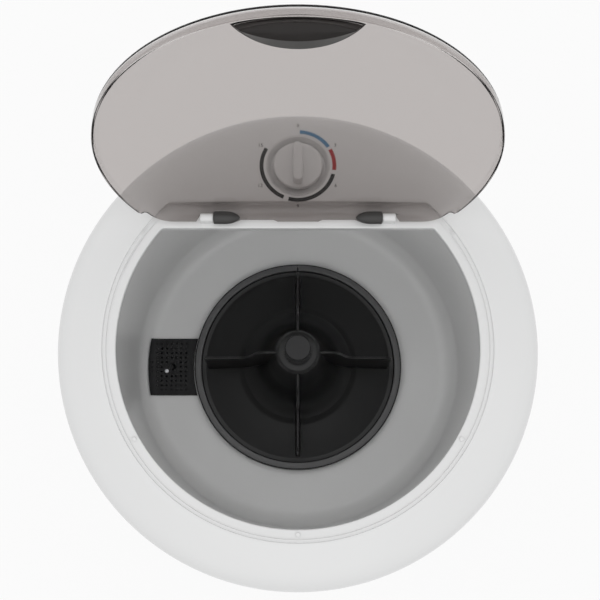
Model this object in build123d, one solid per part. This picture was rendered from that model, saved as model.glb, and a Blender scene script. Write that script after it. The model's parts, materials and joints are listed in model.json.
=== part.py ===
"""Round semi-automatic washing machine with one wash tub, an open smoky lid and a cross-finned pulsator.

Units are millimetres. +Z is up, -Y is the user's side. The origin is on the floor,
on the vertical axis of the round body. The lid is modelled open.
"""
from build123d import *
import math
import os

os.makedirs("parts", exist_ok=True)

# body
body_radius = 246.0
base_radius = body_radius - 18.0
cabinet_wall = 2.6
cabinet_belly = 4.0
cabinet_neck_height = 20.0
cabinet_bottom_flange = 12.0
seam_gap = 2.0
foot_height = 12.0
foot_radius = 22.0
foot_ring_radius = base_radius - 22.0
base_plate = 4.0
base_web_height = 30.0
base_width = 44.0

# top cover
rim_height = 740.0
crown_rise = 10.8
crown_flat_radius = body_radius - 112.0
dome_radius = 322.0
dome_edge_start = body_radius - 18.0
shoulder_drop = 25.0
apron_height = 21.0
cover_wall = 2.8
opening_radius = body_radius - 61.8
opening_chord = body_radius - 125.0
opening_corner = 6.0
opening_lip = 12.0
seat_radius = body_radius - 48.2
seat_step_radius = seat_radius - 3.8
seat_step = 2.0
compartment_front = body_radius - 99.0
lid_rest_angles = (210.0, 270.0, 330.0)
lid_rest_radius = 2.4
lid_rest_height = 2.0
cover_screw_angles = (60.0, 90.0, 120.0)

# wash tub
tub_offset = 18.0
tub_rim_radius = body_radius - 43.0
tub_floor_radius = tub_rim_radius - 8.0
tub_wall = 3.0
tub_depth = 341.0
tub_corner = 23.0
tub_rim_drop = 26.0
tub_flange = 10.5
tub_screw_angles = (210.0, 240.0, 270.0, 300.0, 330.0, 15.0, 165.0)
compartment_depth = 72.0

# lid and its hinge
hinge_y = opening_chord + 8.5
hinge_rise = 10.5
lid_radius = seat_radius - 4.2
lid_wall = 2.2
lid_open_angle = 110.5
lid_rear_reach = 5.6
lid_corner = 28.0
lid_rim_depth = 8.1
lid_shoulder_width = 27.0
lid_edge_rise = 1.5
lid_shoulder_rise = 10.0
lid_crown_rise = 15.0
lid_rear_wall_foot = -1.5
hinge_knuckle_radius = 4.4
hinge_knuckle_outer = 99.6
hinge_knuckle_length = 13.6
hinge_cap_radius = 6.5
hinge_cap_length = 26.8
hinge_gap = 0.3
hinge_pin_radius = 2.0
hinge_pin_length = 32.0
running_clearance = 0.06
grip_half_width = 54.0
grip_tip = lid_radius - 24.6
grip_outer = lid_radius - 13.8
grip_inner = lid_radius - 54.1
grip_floor_inner = lid_radius - 43.1
grip_depth = 14.0
grip_wall = 1.8
grip_flange = 2.5
grip_bezel = 3.6
grip_middle = lid_radius - 33.6
grip_stand = 1.0

# timer and its knob
dial_y = body_radius - 59.8
dish_radius = 32.5
dish_floor_radius = 28.0
dish_depth = 7.0
knob_radius = 25.1
knob_disc = 5.0
knob_gap = 2.6
knob_bar_width = 10.7
knob_bar_length = 43.5
knob_bar_rise = 12.0
timer_radius = 25.0
timer_depth = 34.0
timer_shaft_radius = 3.0
timer_shaft_flat = 1.1
timer_screw_radius = 16.0

# pulsator
pulsator_radius = tub_floor_radius - 68.6
pulsator_gap = 4.0
pulsator_rim_width = 8.5
pulsator_rim_rise = 14.0
pulsator_wall = 3.0
plateau_radius = 64.0
plateau_rise = 21.0
hub_root_radius = 40.0
hub_top_radius = 24.9
hub_rise = 153.0
hub_cap_radius = 14.6
hub_cap_rise = 186.0
fin_thickness = 3.2
fin_reach = pulsator_radius - 19.0
fin_rise = 93.0
fin_step_radius = 54.0
fin_hub_rise = 145.0
fin_count = 4

# drive
shaft_radius = 6.0
shaft_boss_radius = 11.0
shaft_top_rise = 118.0
shaft_bottom_drop = 142.0
housing_radius = 20.0
housing_flange_radius = 46.0
housing_flange = 9.0
housing_rise = 11.0
housing_drop = 100.0
housing_nut_flats = 56.0
housing_nut_height = 7.0
gasket_thickness = 2.0
bush_radius = 11.0
bush_length = 24.0
seal_radius = 15.0
seal_height = 8.0
pulley_drop = 120.0
pulley_radius = 96.0
pulley_rim = 16.0
pulley_hub_radius = 16.0
pulley_holes = 5
groove_depth = 8.4
motor_pulley_radius = 23.0
belt_half_width = 4.8
belt_inner_half = 3.2
belt_height = 6.0
belt_sink = 0.6
belt_clearance = 0.35
motor_distance = body_radius - 96.0
motor_radius = 62.0
motor_top_drop = 10.0
motor_cap_height = 32.0
motor_stack_height = 34.0
motor_wall = 3.0
motor_shaft_radius = 5.0
motor_bolt_radius = 70.0
motor_bolt_shank = 2.8
motor_lug = 5.0
grommet_height = 8.0
rotor_radius = 31.0
rotor_gap = 0.6
bracket_thickness = 3.0
bracket_boss = 4.0
bracket_screw_x = (housing_flange_radius + 26.0, motor_distance)
bracket_half = 52.0
capacitor_radius = 19.0
capacitor_length = 62.0
capacitor_x = -8.0
capacitor_y = -112.0
capacitor_drop = 40.0
capacitor_tab = 30.0

# drain
grille_inner_radius = pulsator_radius + 1.6
grille_outer_radius = tub_floor_radius - 11.6
drain_radius = grille_inner_radius + 24.0
drain_width = 40.0
drain_length = 52.0
grille_half_width = 35.0
grille_thickness = 2.4
grille_lift = 0.3
grille_hole = 1.45
grille_pitch_x = 6.1
grille_pitch_y = 5.7
sump_wall = 2.6
sump_depth = 42.0
hose_radius = 14.0
hose_bore = 11.0
pipe_bore = 8.6
spigot_angle = 112.0
spigot_height = 110.0
spigot_radius = 13.0
spigot_length = 30.0
gland_angle = 68.0
gland_height = 110.0
gland_bore = 3.8

# heights that follow
cabinet_base = foot_height + base_plate
cover_foot = rim_height - shoulder_drop - apron_height
cabinet_top = cover_foot - seam_gap
crown_height = rim_height + crown_rise
tub_floor = rim_height - tub_depth
tub_under = tub_floor - tub_wall
tub_rim = rim_height - tub_rim_drop
shelf_height = tub_rim - compartment_depth + tub_rim_drop
hinge_height = rim_height + hinge_rise
pulley_height = tub_under - pulley_drop

written = []


def save(name, shape, colour):
    """Write one piece, which may hold several like solids, to its STEP file."""
    shape.label = name
    shape.color = Color(*colour)
    export_step(shape, f"parts/{name}.step")
    written.append(name)


def disc(radius, low, high, x=0.0, y=0.0):
    """An upright cylinder from one height to another."""
    return Pos(x, y, low) * Cylinder(radius, high - low, align=(Align.CENTER, Align.CENTER, Align.MIN))


def ring(outer, inner, low, high, x=0.0, y=0.0):
    """An upright tube from one height to another."""
    return disc(outer, low, high, x, y) - disc(inner, low - 1, high + 1, x, y)


def block(x_low, x_high, y_low, y_high, z_low, z_high):
    """A box between two corners."""
    size = (x_high - x_low, y_high - y_low, z_high - z_low)
    return Pos(x_low, y_low, z_low) * Box(*size, align=(Align.MIN, Align.MIN, Align.MIN))


def turned(edges, centre_y=0.0):
    """A solid turned about a vertical axis from a closed profile of (radius, height) edges."""
    return Pos(0, centre_y, 0) * revolve(make_face(edges), Axis.Z)


def profile(points):
    """Straight profile edges through (radius, height) points, closed by the caller."""
    return Polyline([(r, 0, z) for r, z in points])


def d_face(radius, chord, centre_y=0.0, corner=0.0):
    """A circle cut straight across at the back, with rounded corners."""
    face = Pos(0, centre_y, 0) * Circle(radius)
    behind = Pos(0, chord + radius, 0) * Rectangle(4 * radius, 2 * radius)
    face = face - behind
    if corner > 0:
        ends = face.vertices().group_by(Axis.Y)[-1]
        face = fillet(ends, corner)
    return face


def d_prism(radius, chord, low, high, centre_y=0.0, corner=0.0):
    """An upright prism on a circle cut straight across at the back."""
    return Pos(0, 0, low) * extrude(d_face(radius, chord, centre_y, corner), high - low)


def dome_height(radius, drop=0.0):
    """Height of the cover's dome at a radius from the body axis."""
    run = max(radius - crown_flat_radius, 0.0)
    return crown_height - drop - (dome_radius - math.sqrt(dome_radius**2 - run**2))


def dome_solid(drop, edge_radius, low):
    """The space under the cover's dome, from a height up to the dome."""
    edge_start = dome_edge_start + edge_radius - body_radius
    middle = (crown_flat_radius + edge_start) / 2
    start_height = dome_height(edge_start, drop)
    slope = (edge_start - crown_flat_radius) / math.sqrt(
        dome_radius**2 - (edge_start - crown_flat_radius) ** 2
    )
    corner_height = start_height - slope * (edge_radius - edge_start)
    shoulder = rim_height - shoulder_drop
    edges = [
        Line((0, 0, crown_height - drop), (crown_flat_radius, 0, crown_height - drop)),
        ThreePointArc(
            (crown_flat_radius, 0, crown_height - drop),
            (middle, 0, dome_height(middle, drop)),
            (edge_start, 0, start_height),
        ),
        Bezier((edge_start, 0, start_height), (edge_radius, 0, corner_height), (edge_radius, 0, shoulder)),
        profile([(edge_radius, shoulder), (edge_radius, low), (0, low), (0, crown_height - drop)]),
    ]
    return turned(edges)


def polar(radius, angle):
    """Plan coordinates at a radius and an angle in degrees from +X."""
    return radius * math.cos(math.radians(angle)), radius * math.sin(math.radians(angle))


def pan_screw(radius, length, head_radius, head_height):
    """A screw with a rounded head: the shank runs down from the origin, the head stands above."""
    head = disc(head_radius, 0, head_height)
    head = fillet(head.edges().filter_by(GeomType.CIRCLE).group_by(Axis.Z)[-1], head_height * 0.6)
    return head + disc(radius, -length, 0)


white = (0.93, 0.93, 0.92)
grey = (0.62, 0.63, 0.64)
dark = (0.16, 0.16, 0.17)
smoke = (0.55, 0.52, 0.50)
steel = (0.70, 0.71, 0.72)
rubber = (0.10, 0.10, 0.10)


# cabinet
def cabinet_radius(height, inset=0.0):
    """Radius of the cabinet's outside at a height, a shallow arc between base and shoulder."""
    share = (height - cabinet_base) / (cabinet_top - cabinet_base)
    straight = base_radius + (body_radius - base_radius) * share
    return straight + 4 * cabinet_belly * share * (1 - share) - inset


def wall_arc(inset, low, high):
    """The cabinet wall's profile arc, moved inwards by an inset."""
    middle = (low + high) / 2
    return ThreePointArc(
        (cabinet_radius(low, inset), 0, low),
        (cabinet_radius(middle, inset), 0, middle),
        (cabinet_radius(high, inset), 0, high),
    )


def wall_pad(angle, height, radius):
    """A round pad on the cabinet wall with its outer face square to the wall's radius."""
    reach = cabinet_radius(height) + 1.5
    depth = 7.0
    pad = Rot(0, 90, 0) * disc(radius, reach - depth, reach)
    return Rot(0, 0, angle) * (Pos(0, 0, height) * pad)


def along_wall(angle, height, shape):
    """Place a shape made along +Z so that it points out of the cabinet, from the pad's outer face."""
    reach = cabinet_radius(height) + 1.5
    return Rot(0, 0, angle) * (Pos(reach, 0, height) * (Rot(0, 90, 0) * shape))


neck_outer = body_radius - cover_wall - seam_gap / 4
neck_inner = neck_outer - cabinet_wall
neck_top = cabinet_top + cabinet_neck_height
flange_inner = base_radius - cabinet_bottom_flange
cabinet_edges = [
    wall_arc(0.0, cabinet_base, cabinet_top),
    profile(
        [
            (cabinet_radius(cabinet_top), cabinet_top),
            (neck_outer, cabinet_top),
            (neck_outer, neck_top),
            (neck_inner, neck_top),
            (neck_inner, cabinet_top - 2 * cabinet_wall),
            (cabinet_radius(cabinet_top - 3 * cabinet_wall, cabinet_wall), cabinet_top - 3 * cabinet_wall),
        ]
    ),
    wall_arc(cabinet_wall, cabinet_base + cabinet_wall, cabinet_top - 3 * cabinet_wall),
    profile(
        [
            (cabinet_radius(cabinet_base + cabinet_wall, cabinet_wall), cabinet_base + cabinet_wall),
            (flange_inner, cabinet_base + cabinet_wall),
            (flange_inner, cabinet_base),
            (cabinet_radius(cabinet_base), cabinet_base),
        ]
    ),
]
cabinet = turned(cabinet_edges)
spigot_hole = 16.5
gland_hole = 8.0
for angle, height, hole in ((spigot_angle, spigot_height, spigot_hole), (gland_angle, gland_height, gland_hole)):
    cabinet += wall_pad(angle, height, hole + 10)
for angle, height, hole in ((spigot_angle, spigot_height, spigot_hole), (gland_angle, gland_height, gland_hole)):
    cabinet -= along_wall(angle, height, disc(hole, -20, 10))
cover_screw_height = (cover_foot + neck_top) / 2
cover_screw_shank = 1.9
for angle in cover_screw_angles:
    drill = Rot(0, 90, 0) * disc(cover_screw_shank, neck_inner - 6, body_radius + 6)
    cabinet -= Rot(0, 0, angle) * (Pos(0, 0, cover_screw_height) * drill)
save("cabinet_shell", cabinet, white)

# base ring and feet
base_outer = base_radius
base_inner = base_radius - base_width
web_outer = flange_inner - 0.4
base = ring(base_outer, base_inner, foot_height, cabinet_base)
base += ring(web_outer, web_outer - 3, foot_height, cabinet_base + base_web_height)
base += ring(base_inner + 3, base_inner, foot_height, cabinet_base + base_web_height * 0.6)
foot_stem_radius = 6.0
fit_gap = 0.1
foot_stem = 14.0
feet = []
for quarter in range(4):
    x, y = polar(foot_ring_radius - 6, 45 + 90 * quarter)
    base += disc(foot_stem_radius + 5, foot_height, cabinet_base + foot_stem, x, y)
for quarter in range(4):
    x, y = polar(foot_ring_radius - 6, 45 + 90 * quarter)
    base -= disc(foot_stem_radius, foot_height - 1, cabinet_base + foot_stem + 1, x, y)
    foot = Pos(x, y, 0) * Cone(foot_radius - 3, foot_radius, foot_height, align=(Align.CENTER, Align.CENTER, Align.MIN))
    feet.append(foot + disc(foot_stem_radius - fit_gap, foot_height, cabinet_base + foot_stem, x, y))
for spoke in range(12):
    angle = 30 * spoke
    rib = block(base_inner + 2, web_outer - 2, -1.5, 1.5, foot_height, cabinet_base + base_web_height * 0.5)
    base += Rot(0, 0, angle) * rib
save("base_ring", base, dark)
save("rubber_feet", Compound(feet), rubber)

# top cover
cover = dome_solid(0.0, body_radius, cover_foot)
cover -= dome_solid(cover_wall, body_radius - cover_wall, cover_foot - 10)
plate_low = rim_height - cover_wall
cover -= d_prism(seat_radius + cover_wall / 2, compartment_front + cover_wall / 2, plate_low, crown_height + 5)
under_dome = dome_solid(0.0, body_radius, cover_foot)
seat_wall = d_prism(seat_radius + cover_wall, compartment_front + cover_wall, plate_low, crown_height + 5)
seat_wall -= d_prism(seat_radius, compartment_front, plate_low - 1, crown_height + 6)
cover += seat_wall & under_dome
seat = d_prism(seat_radius + cover_wall, compartment_front + cover_wall, plate_low, rim_height)
step_ring = ring(seat_radius + 0.5, seat_step_radius, rim_height - 1, rim_height + seat_step)
step_ring -= block(-body_radius, body_radius, hinge_y - 12, body_radius, plate_low, crown_height)
seat += step_ring
lip_low = rim_height - opening_lip
seat += d_prism(
    opening_radius + cover_wall, opening_chord + cover_wall, lip_low, rim_height, corner=opening_corner + cover_wall
)
opening_cut = d_prism(opening_radius, opening_chord, lip_low - 1, rim_height + 1, corner=opening_corner)
seat -= opening_cut
for angle in lid_rest_angles:
    x, y = polar((opening_radius + seat_step_radius) / 2, angle)
    seat += disc(lid_rest_radius, rim_height - 1, rim_height + lid_rest_height, x, y)
mouth_edges = seat.edges().filter_by(lambda e: abs(e.center().Z - rim_height) < 0.01)
mouth_edges = [e for e in mouth_edges if max(abs((e @ t).X) for t in (0.0, 0.5, 1.0)) < opening_radius + 0.5]
mouth_edges = [e for e in mouth_edges if all(math.hypot((e @ t).X, (e @ t).Y) < opening_radius + 0.5 for t in (0.0, 0.5, 1.0))]
seat = fillet(mouth_edges, cover_wall * 0.6)
cover += seat

# the rib that seats on the tub's flange, and the wall in front of the timer
rib_outer = tub_rim_radius + tub_wall
rib = d_prism(rib_outer, compartment_front + cover_wall, tub_rim, crown_height, tub_offset)
rib -= d_prism(tub_rim_radius + 0.2, compartment_front, tub_rim - 1, crown_height + 1, tub_offset)
rib = rib & dome_solid(cover_wall / 2, body_radius, cover_foot)
rib -= d_prism(seat_radius + cover_wall, compartment_front + 0.01, plate_low, crown_height + 5)
cover += rib
tub_screw_circle = rib_outer + 4.5
boss_radius = 4.8
tub_screw_radius = 1.9
screw_spots = []
for angle in tub_screw_angles:
    x, y = polar(tub_screw_circle, angle)
    screw_spots.append((x, y + tub_offset))
boss_room = dome_solid(cover_wall / 2, body_radius, cover_foot)
boss_room -= d_prism(seat_radius + cover_wall / 2, compartment_front, rim_height - cover_wall / 2, crown_height + 5)
for x, y in screw_spots:
    cover += disc(boss_radius, tub_rim, crown_height, x, y) & boss_room
for x, y in screw_spots:
    cover -= disc(tub_screw_radius, tub_rim - 1, tub_rim + 14, x, y)
for angle in cover_screw_angles:
    drill = Rot(0, 90, 0) * disc(cover_screw_shank + 0.3, neck_inner - 6, body_radius + 6)
    cover -= Rot(0, 0, angle) * (Pos(0, 0, cover_screw_height) * drill)

# dial dish in the panel
dial_tilt = math.degrees(math.asin((dial_y - crown_flat_radius) / dome_radius))
dial_frame = Pos(0, dial_y, dome_height(dial_y)) * Rot(-dial_tilt, 0, 0)
dish_outside = dial_frame * turned(
    [
        profile(
            [
                (0, 0.0),
                (dish_radius + cover_wall, 0.0),
                (dish_floor_radius + cover_wall, -dish_depth - cover_wall),
                (0, -dish_depth - cover_wall),
                (0, 0.0),
            ]
        )
    ]
)
dish_inside = dial_frame * turned(
    [
        profile(
            [
                (0, 6.0),
                (dish_radius + 3.9, 6.0),
                (dish_floor_radius, -dish_depth),
                (0, -dish_depth),
                (0, 6.0),
            ]
        )
    ]
)
cover += dish_outside & dome_solid(cover_wall / 2, body_radius, cover_foot)
cover -= dish_inside
cover -= dial_frame * disc(timer_shaft_radius + 1.5, -dish_depth - 10, 0)
timer_screw_shank = 1.8
for side in (-1, 1):
    cover -= dial_frame * disc(timer_screw_shank + 0.2, -dish_depth - 10, 0, side * timer_screw_radius)

# hinge knuckles that stand on the seat behind the opening
knuckle_inner = hinge_knuckle_outer - hinge_knuckle_length
hinge_line = Pos(0, hinge_y, hinge_height)


def along_hinge(radius, start, end):
    """A cylinder on the hinge line between two X positions."""
    return hinge_line * (Pos(start, 0, 0) * (Rot(0, 90, 0) * disc(radius, 0, end - start)))


for side in (-1, 1):
    start = min(side * hinge_knuckle_outer, side * knuckle_inner)
    end = start + hinge_knuckle_length
    lug = along_hinge(hinge_knuckle_radius, start, end)
    lug += block(
        start, end, hinge_y - hinge_knuckle_radius, hinge_y + hinge_knuckle_radius, rim_height - 1, hinge_height
    )
    lug -= along_hinge(hinge_pin_radius + running_clearance, start - 1, end + 1)
    cover += lug
save("top_cover", cover, white)

cover_screws = []
for angle in cover_screw_angles:
    screw = Pos(body_radius, 0, cover_screw_height) * (Rot(0, 90, 0) * pan_screw(cover_screw_shank, 9.0, 3.6, 2.2))
    cover_screws.append(Rot(0, 0, angle) * screw)
save("cover_screws", Compound(cover_screws), steel)

# wash tub


def tub_space(inset, low, high):
    """The round space of the tub, inset from its outside, with a rounded corner at the floor."""
    top = tub_rim_radius + tub_wall - inset
    slope = (tub_rim_radius - tub_floor_radius) / (tub_rim - tub_floor)
    bottom = top - slope * (tub_rim - low)
    round_off = tub_corner + tub_wall - inset
    wall_radius = bottom + slope * round_off
    edges = [
        profile([(0, low), (bottom - round_off, low)]),
        ThreePointArc(
            (bottom - round_off, 0, low),
            (bottom - round_off * (1 - math.sin(math.radians(45))), 0, low + round_off * (1 - math.cos(math.radians(45)))),
            (wall_radius, 0, low + round_off),
        ),
        profile([(wall_radius, low + round_off), (top + slope * (high - tub_rim), high), (0, high), (0, low)]),
    ]
    return turned(edges, tub_offset)


alcove = compartment_front + cover_wall
tub_outside = tub_space(0.0, tub_under, tub_rim)
tub_outside -= block(-body_radius, body_radius, alcove, body_radius + 50, shelf_height, tub_rim + 10)
tub_inside = tub_space(tub_wall, tub_floor, tub_rim + 5)
tub_inside -= block(
    -body_radius, body_radius, alcove - tub_wall, body_radius + 50, shelf_height - tub_wall, tub_rim + 20
)
tub = tub_outside - tub_inside
flange_reach = rib_outer + tub_flange
flange = d_prism(flange_reach, alcove + 3, tub_rim - tub_wall, tub_rim, tub_offset, corner=6)
flange -= d_prism(tub_rim_radius, alcove - tub_wall, tub_rim - tub_wall - 1, tub_rim + 1, tub_offset)
tub += flange
for x, y in screw_spots:
    tub -= disc(tub_screw_radius + 0.3, tub_rim - 10, tub_rim + 1, x, y)
tub -= disc(housing_radius + 0.4, tub_under - 5, tub_floor + 5, 0, tub_offset)
tub += ring(housing_flange_radius + 4, housing_flange_radius + 1, tub_under - 6, tub_under + 1, 0, tub_offset)
drain_x = -drain_radius
drain_cut = block(
    drain_x - drain_width / 2,
    drain_x + drain_width / 2,
    tub_offset - drain_length / 2,
    tub_offset + drain_length / 2,
    tub_under - 5,
    tub_floor + 5,
)
drain_cut = fillet(drain_cut.edges().filter_by(Axis.Z), 6)
tub -= drain_cut
bracket_spots = [(x, tub_offset + side * bracket_half) for x in bracket_screw_x for side in (-1, 1)]
rib_low = tub_under - bracket_boss
for x, y in bracket_spots:
    tub += disc(8, rib_low, tub_under + 1, x, y)
for x, y in bracket_spots:
    tub -= disc(2.4, rib_low - 1, tub_under + 1.5, x, y)
clamp_spots = [(capacitor_x + side * capacitor_tab, tub_offset + capacitor_y) for side in (-1, 1)]
for x, y in clamp_spots:
    tub += disc(7, rib_low, tub_under + 1, x, y)
for x, y in clamp_spots:
    tub -= disc(1.9, rib_low - 1, tub_under + 1.5, x, y)
stiffener_start = housing_flange_radius + 4
for spoke in range(8):
    angle = 22.5 + 45 * spoke
    stiffener = block(stiffener_start - 1, tub_floor_radius - tub_corner, -1.5, 1.5, tub_under - bracket_boss, tub_under + 1)
    tub += Pos(0, tub_offset, 0) * (Rot(0, 0, angle) * stiffener)
save("wash_tub", tub, grey)

tub_screws = []
for x, y in screw_spots:
    screw = Rot(180, 0, 0) * pan_screw(tub_screw_radius, 12.0, 4.0, 2.4)
    tub_screws.append(Pos(x, y, tub_rim - tub_wall) * screw)
save("tub_screws", Compound(tub_screws), steel)

# drain grille over the sump
grille_edges_low = tub_floor + grille_lift
corner_start = tub_floor_radius - tub_corner
corner_radius_low = tub_corner - grille_lift
corner_radius_high = tub_corner - grille_lift - grille_thickness


def corner_rise(radius, corner_radius):
    """Rise of the rounded tub corner above its start, at a radius."""
    return tub_corner - grille_lift - math.sqrt(corner_radius**2 - (radius - corner_start) ** 2)


grille_middle = (corner_start + grille_outer_radius) / 2
grille_profile = [
    profile([(grille_inner_radius, grille_edges_low), (corner_start, grille_edges_low)]),
    ThreePointArc(
        (corner_start, 0, grille_edges_low),
        (grille_middle, 0, grille_edges_low + corner_rise(grille_middle, corner_radius_low)),
        (grille_outer_radius, 0, grille_edges_low + corner_rise(grille_outer_radius, corner_radius_low)),
    ),
    Line(
        (grille_outer_radius, 0, grille_edges_low + corner_rise(grille_outer_radius, corner_radius_low)),
        (grille_outer_radius, 0, grille_edges_low + corner_rise(grille_outer_radius, corner_radius_high)),
    ),
    ThreePointArc(
        (grille_outer_radius, 0, grille_edges_low + corner_rise(grille_outer_radius, corner_radius_high)),
        (grille_middle, 0, grille_edges_low + corner_rise(grille_middle, corner_radius_high)),
        (corner_start, 0, grille_edges_low + grille_thickness),
    ),
    profile(
        [
            (corner_start, grille_edges_low + grille_thickness),
            (grille_inner_radius, grille_edges_low + grille_thickness),
            (grille_inner_radius, grille_edges_low),
        ]
    ),
]
grille = turned(grille_profile)
grille = grille & block(-body_radius, 0, -grille_half_width, grille_half_width, tub_floor - 5, tub_floor + 60)
hole_first_x = -(grille_inner_radius + 8.5)
screw_x = -drain_radius - 9.0
screw_y = -5.0
catch_x = -drain_radius
punches = []
for column in range(8):
    for row in range(-5, 6):
        x = hole_first_x - column * grille_pitch_x
        x -= 1.2 * (1 - (row / 5) ** 2) if column < 3 else 0.0
        y = row * grille_pitch_y
        near_screw = math.hypot(x - screw_x, y - screw_y) < 6
        near_catch = abs(x - catch_x) < 7 and abs(y) < 8
        if near_screw or near_catch or math.hypot(x, y) > grille_outer_radius - 4:
            continue
        punches.append(Pos(x, y, tub_floor - 3) * extrude(RegularPolygon(grille_hole, 6), 20))
grille -= Compound(punches)
catch = Polygon((-3.5, -4.5), (-0.5, -4.5), (3.5, 0), (-0.5, 4.5), (-3.5, 4.5), (-0.5, 0), align=None)
grille -= Pos(catch_x, 0, tub_floor - 3) * extrude(catch, 20)
grille_screw_radius = 1.6
grille -= disc(grille_screw_radius + 0.2, tub_floor - 3, tub_floor + 20, screw_x, screw_y)
grille = Pos(0, tub_offset, 0) * grille
save("drain_grille", grille, dark)
grille_top = grille_edges_low + grille_thickness
grille_screw = Pos(screw_x, screw_y + tub_offset, grille_top) * pan_screw(grille_screw_radius, 9.0, 2.6, 1.4)
save("grille_screw", grille_screw, steel)

# sump below the floor, with its outlet pipe towards the back
sump_x_low = drain_x - drain_width / 2 - sump_wall
sump_x_high = drain_x + drain_width / 2 + sump_wall
sump_y_low = tub_offset - drain_length / 2 - sump_wall
sump_y_high = tub_offset + drain_length / 2 + sump_wall
sump_low = tub_under - sump_depth
sump_body = block(sump_x_low, sump_x_high, sump_y_low, sump_y_high, sump_low, tub_under)
sump_body = fillet(sump_body.edges().filter_by(Axis.Z), 8)
sump_body += block(
    sump_x_low - 8, sump_x_high + 8, sump_y_low - 8, sump_y_high + 8, tub_under - sump_wall, tub_under
)
hollow = block(
    sump_x_low + sump_wall,
    sump_x_high - sump_wall,
    sump_y_low + sump_wall,
    sump_y_high - sump_wall,
    sump_low + sump_wall,
    tub_under + 1,
)
hollow = fillet(hollow.edges().filter_by(Axis.Z), 6)
pipe_height = sump_low + hose_bore + 3
pipe_end = sump_y_high + 26
pipe_axis = Pos(drain_x, sump_y_high, pipe_height) * Rot(-90, 0, 0)
pipe = pipe_axis * disc(hose_bore - 0.1, -2, pipe_end - sump_y_high)
sump = sump_body + pipe - hollow - pipe_axis * disc(pipe_bore, -10, pipe_end - sump_y_high + 5)
post_x = screw_x
post_y = screw_y + tub_offset
sump += disc(5, sump_low + 1, tub_under - 1, post_x, post_y)
sump -= disc(grille_screw_radius, tub_under - 12, tub_under, post_x, post_y)
sump_spots = [
    (x, y)
    for x in (sump_x_low - 4, sump_x_high + 4)
    for y in (sump_y_low - 4, sump_y_high + 4)
]
for x, y in sump_spots:
    sump -= disc(1.8, tub_under - 10, tub_under + 1, x, y)
save("drain_sump", sump, dark)
sump_screws = []
for x, y in sump_spots:
    screw = Rot(180, 0, 0) * pan_screw(1.7, sump_wall, 3.2, 1.8)
    sump_screws.append(Pos(x, y, tub_under - sump_wall) * screw)
save("sump_screws", Compound(sump_screws), steel)

# outlet spigot and cord gland in the back of the cabinet
spigot = disc(spigot_radius, 0, spigot_length) + disc(spigot_hole + 8, 0, 3)
spigot += disc(spigot_hole - 0.4, -10, 0) + disc(hose_bore - 0.1, -34, -10)
lead_in = Cone(spigot_radius, spigot_radius - 1.6, 4, align=(Align.CENTER, Align.CENTER, Align.MIN))
spigot += Pos(0, 0, spigot_length) * lead_in
spigot -= disc(pipe_bore, -40, spigot_length + 10)
save("outlet_spigot", along_wall(spigot_angle, spigot_height, spigot), dark)

gland = disc(gland_hole + 4, 0, 4) + disc(gland_hole - 0.2, -9, 0)
gland += Pos(0, 0, 4) * Cone(gland_hole + 1, gland_bore + 2.5, 9, align=(Align.CENTER, Align.CENTER, Align.MIN))
gland += Pos(0, 0, -12) * Cone(gland_hole, gland_hole + 1.6, 3, align=(Align.CENTER, Align.CENTER, Align.MIN))
gland -= disc(gland_bore, -20, 20)
save("cord_gland", along_wall(gland_angle, gland_height, gland), rubber)

# hose from the sump to the spigot
spigot_reach = cabinet_radius(spigot_height) + 1.5
inner_x, inner_y = polar(spigot_reach - 13, spigot_angle)
turn_x, turn_y = polar(spigot_reach - 62, spigot_angle)
hose_start = (drain_x, pipe_end - 22, pipe_height)
hose_points = [
    hose_start,
    (drain_x, pipe_end + 52, pipe_height),
    (drain_x + 18, pipe_end + 62, pipe_height - 60),
    (turn_x - 24, turn_y - 8, spigot_height + 72),
    (turn_x, turn_y, spigot_height),
    (inner_x, inner_y, spigot_height),
]


def bend_radii(points, share=0.45):
    """Radii that round each corner of a route as widely as its shorter run allows."""
    radii = []
    for before, here, after in zip(points, points[1:], points[2:]):
        back = Vector(*here) - Vector(*before)
        ahead = Vector(*after) - Vector(*here)
        half_turn = math.radians(back.get_angle(ahead)) / 2
        radii.append(share * min(back.length, ahead.length) / math.tan(half_turn))
    return radii


hose_radii = bend_radii(hose_points)
print("hose bend radii", [round(r, 1) for r in hose_radii])
hose_path = FilletPolyline(*hose_points, radius=hose_radii)
hose_section = Plane(origin=hose_path @ 0, z_dir=hose_path % 0) * (Circle(hose_radius) - Circle(hose_bore))
hose = sweep(hose_section, path=hose_path)
save("drain_hose", hose, dark)
clip_places = []
clip_width = 9.0
start_clip = Pos(drain_x, pipe_end - 14, pipe_height) * Rot(-90, 0, 0)
spigot_clip = Rot(0, 0, spigot_angle) * Pos(spigot_reach - 26, 0, spigot_height) * Rot(0, 90, 0)
for place in (start_clip, spigot_clip):
    clip = ring(hose_radius + 1.4, hose_radius + 0.05, 0, clip_width)
    clip += block(hose_radius + 0.6, hose_radius + 8, -3.5, 3.5, 0, clip_width)
    clip_places.append(place * clip)
save("hose_clips", Compound(clip_places), steel)

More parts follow.
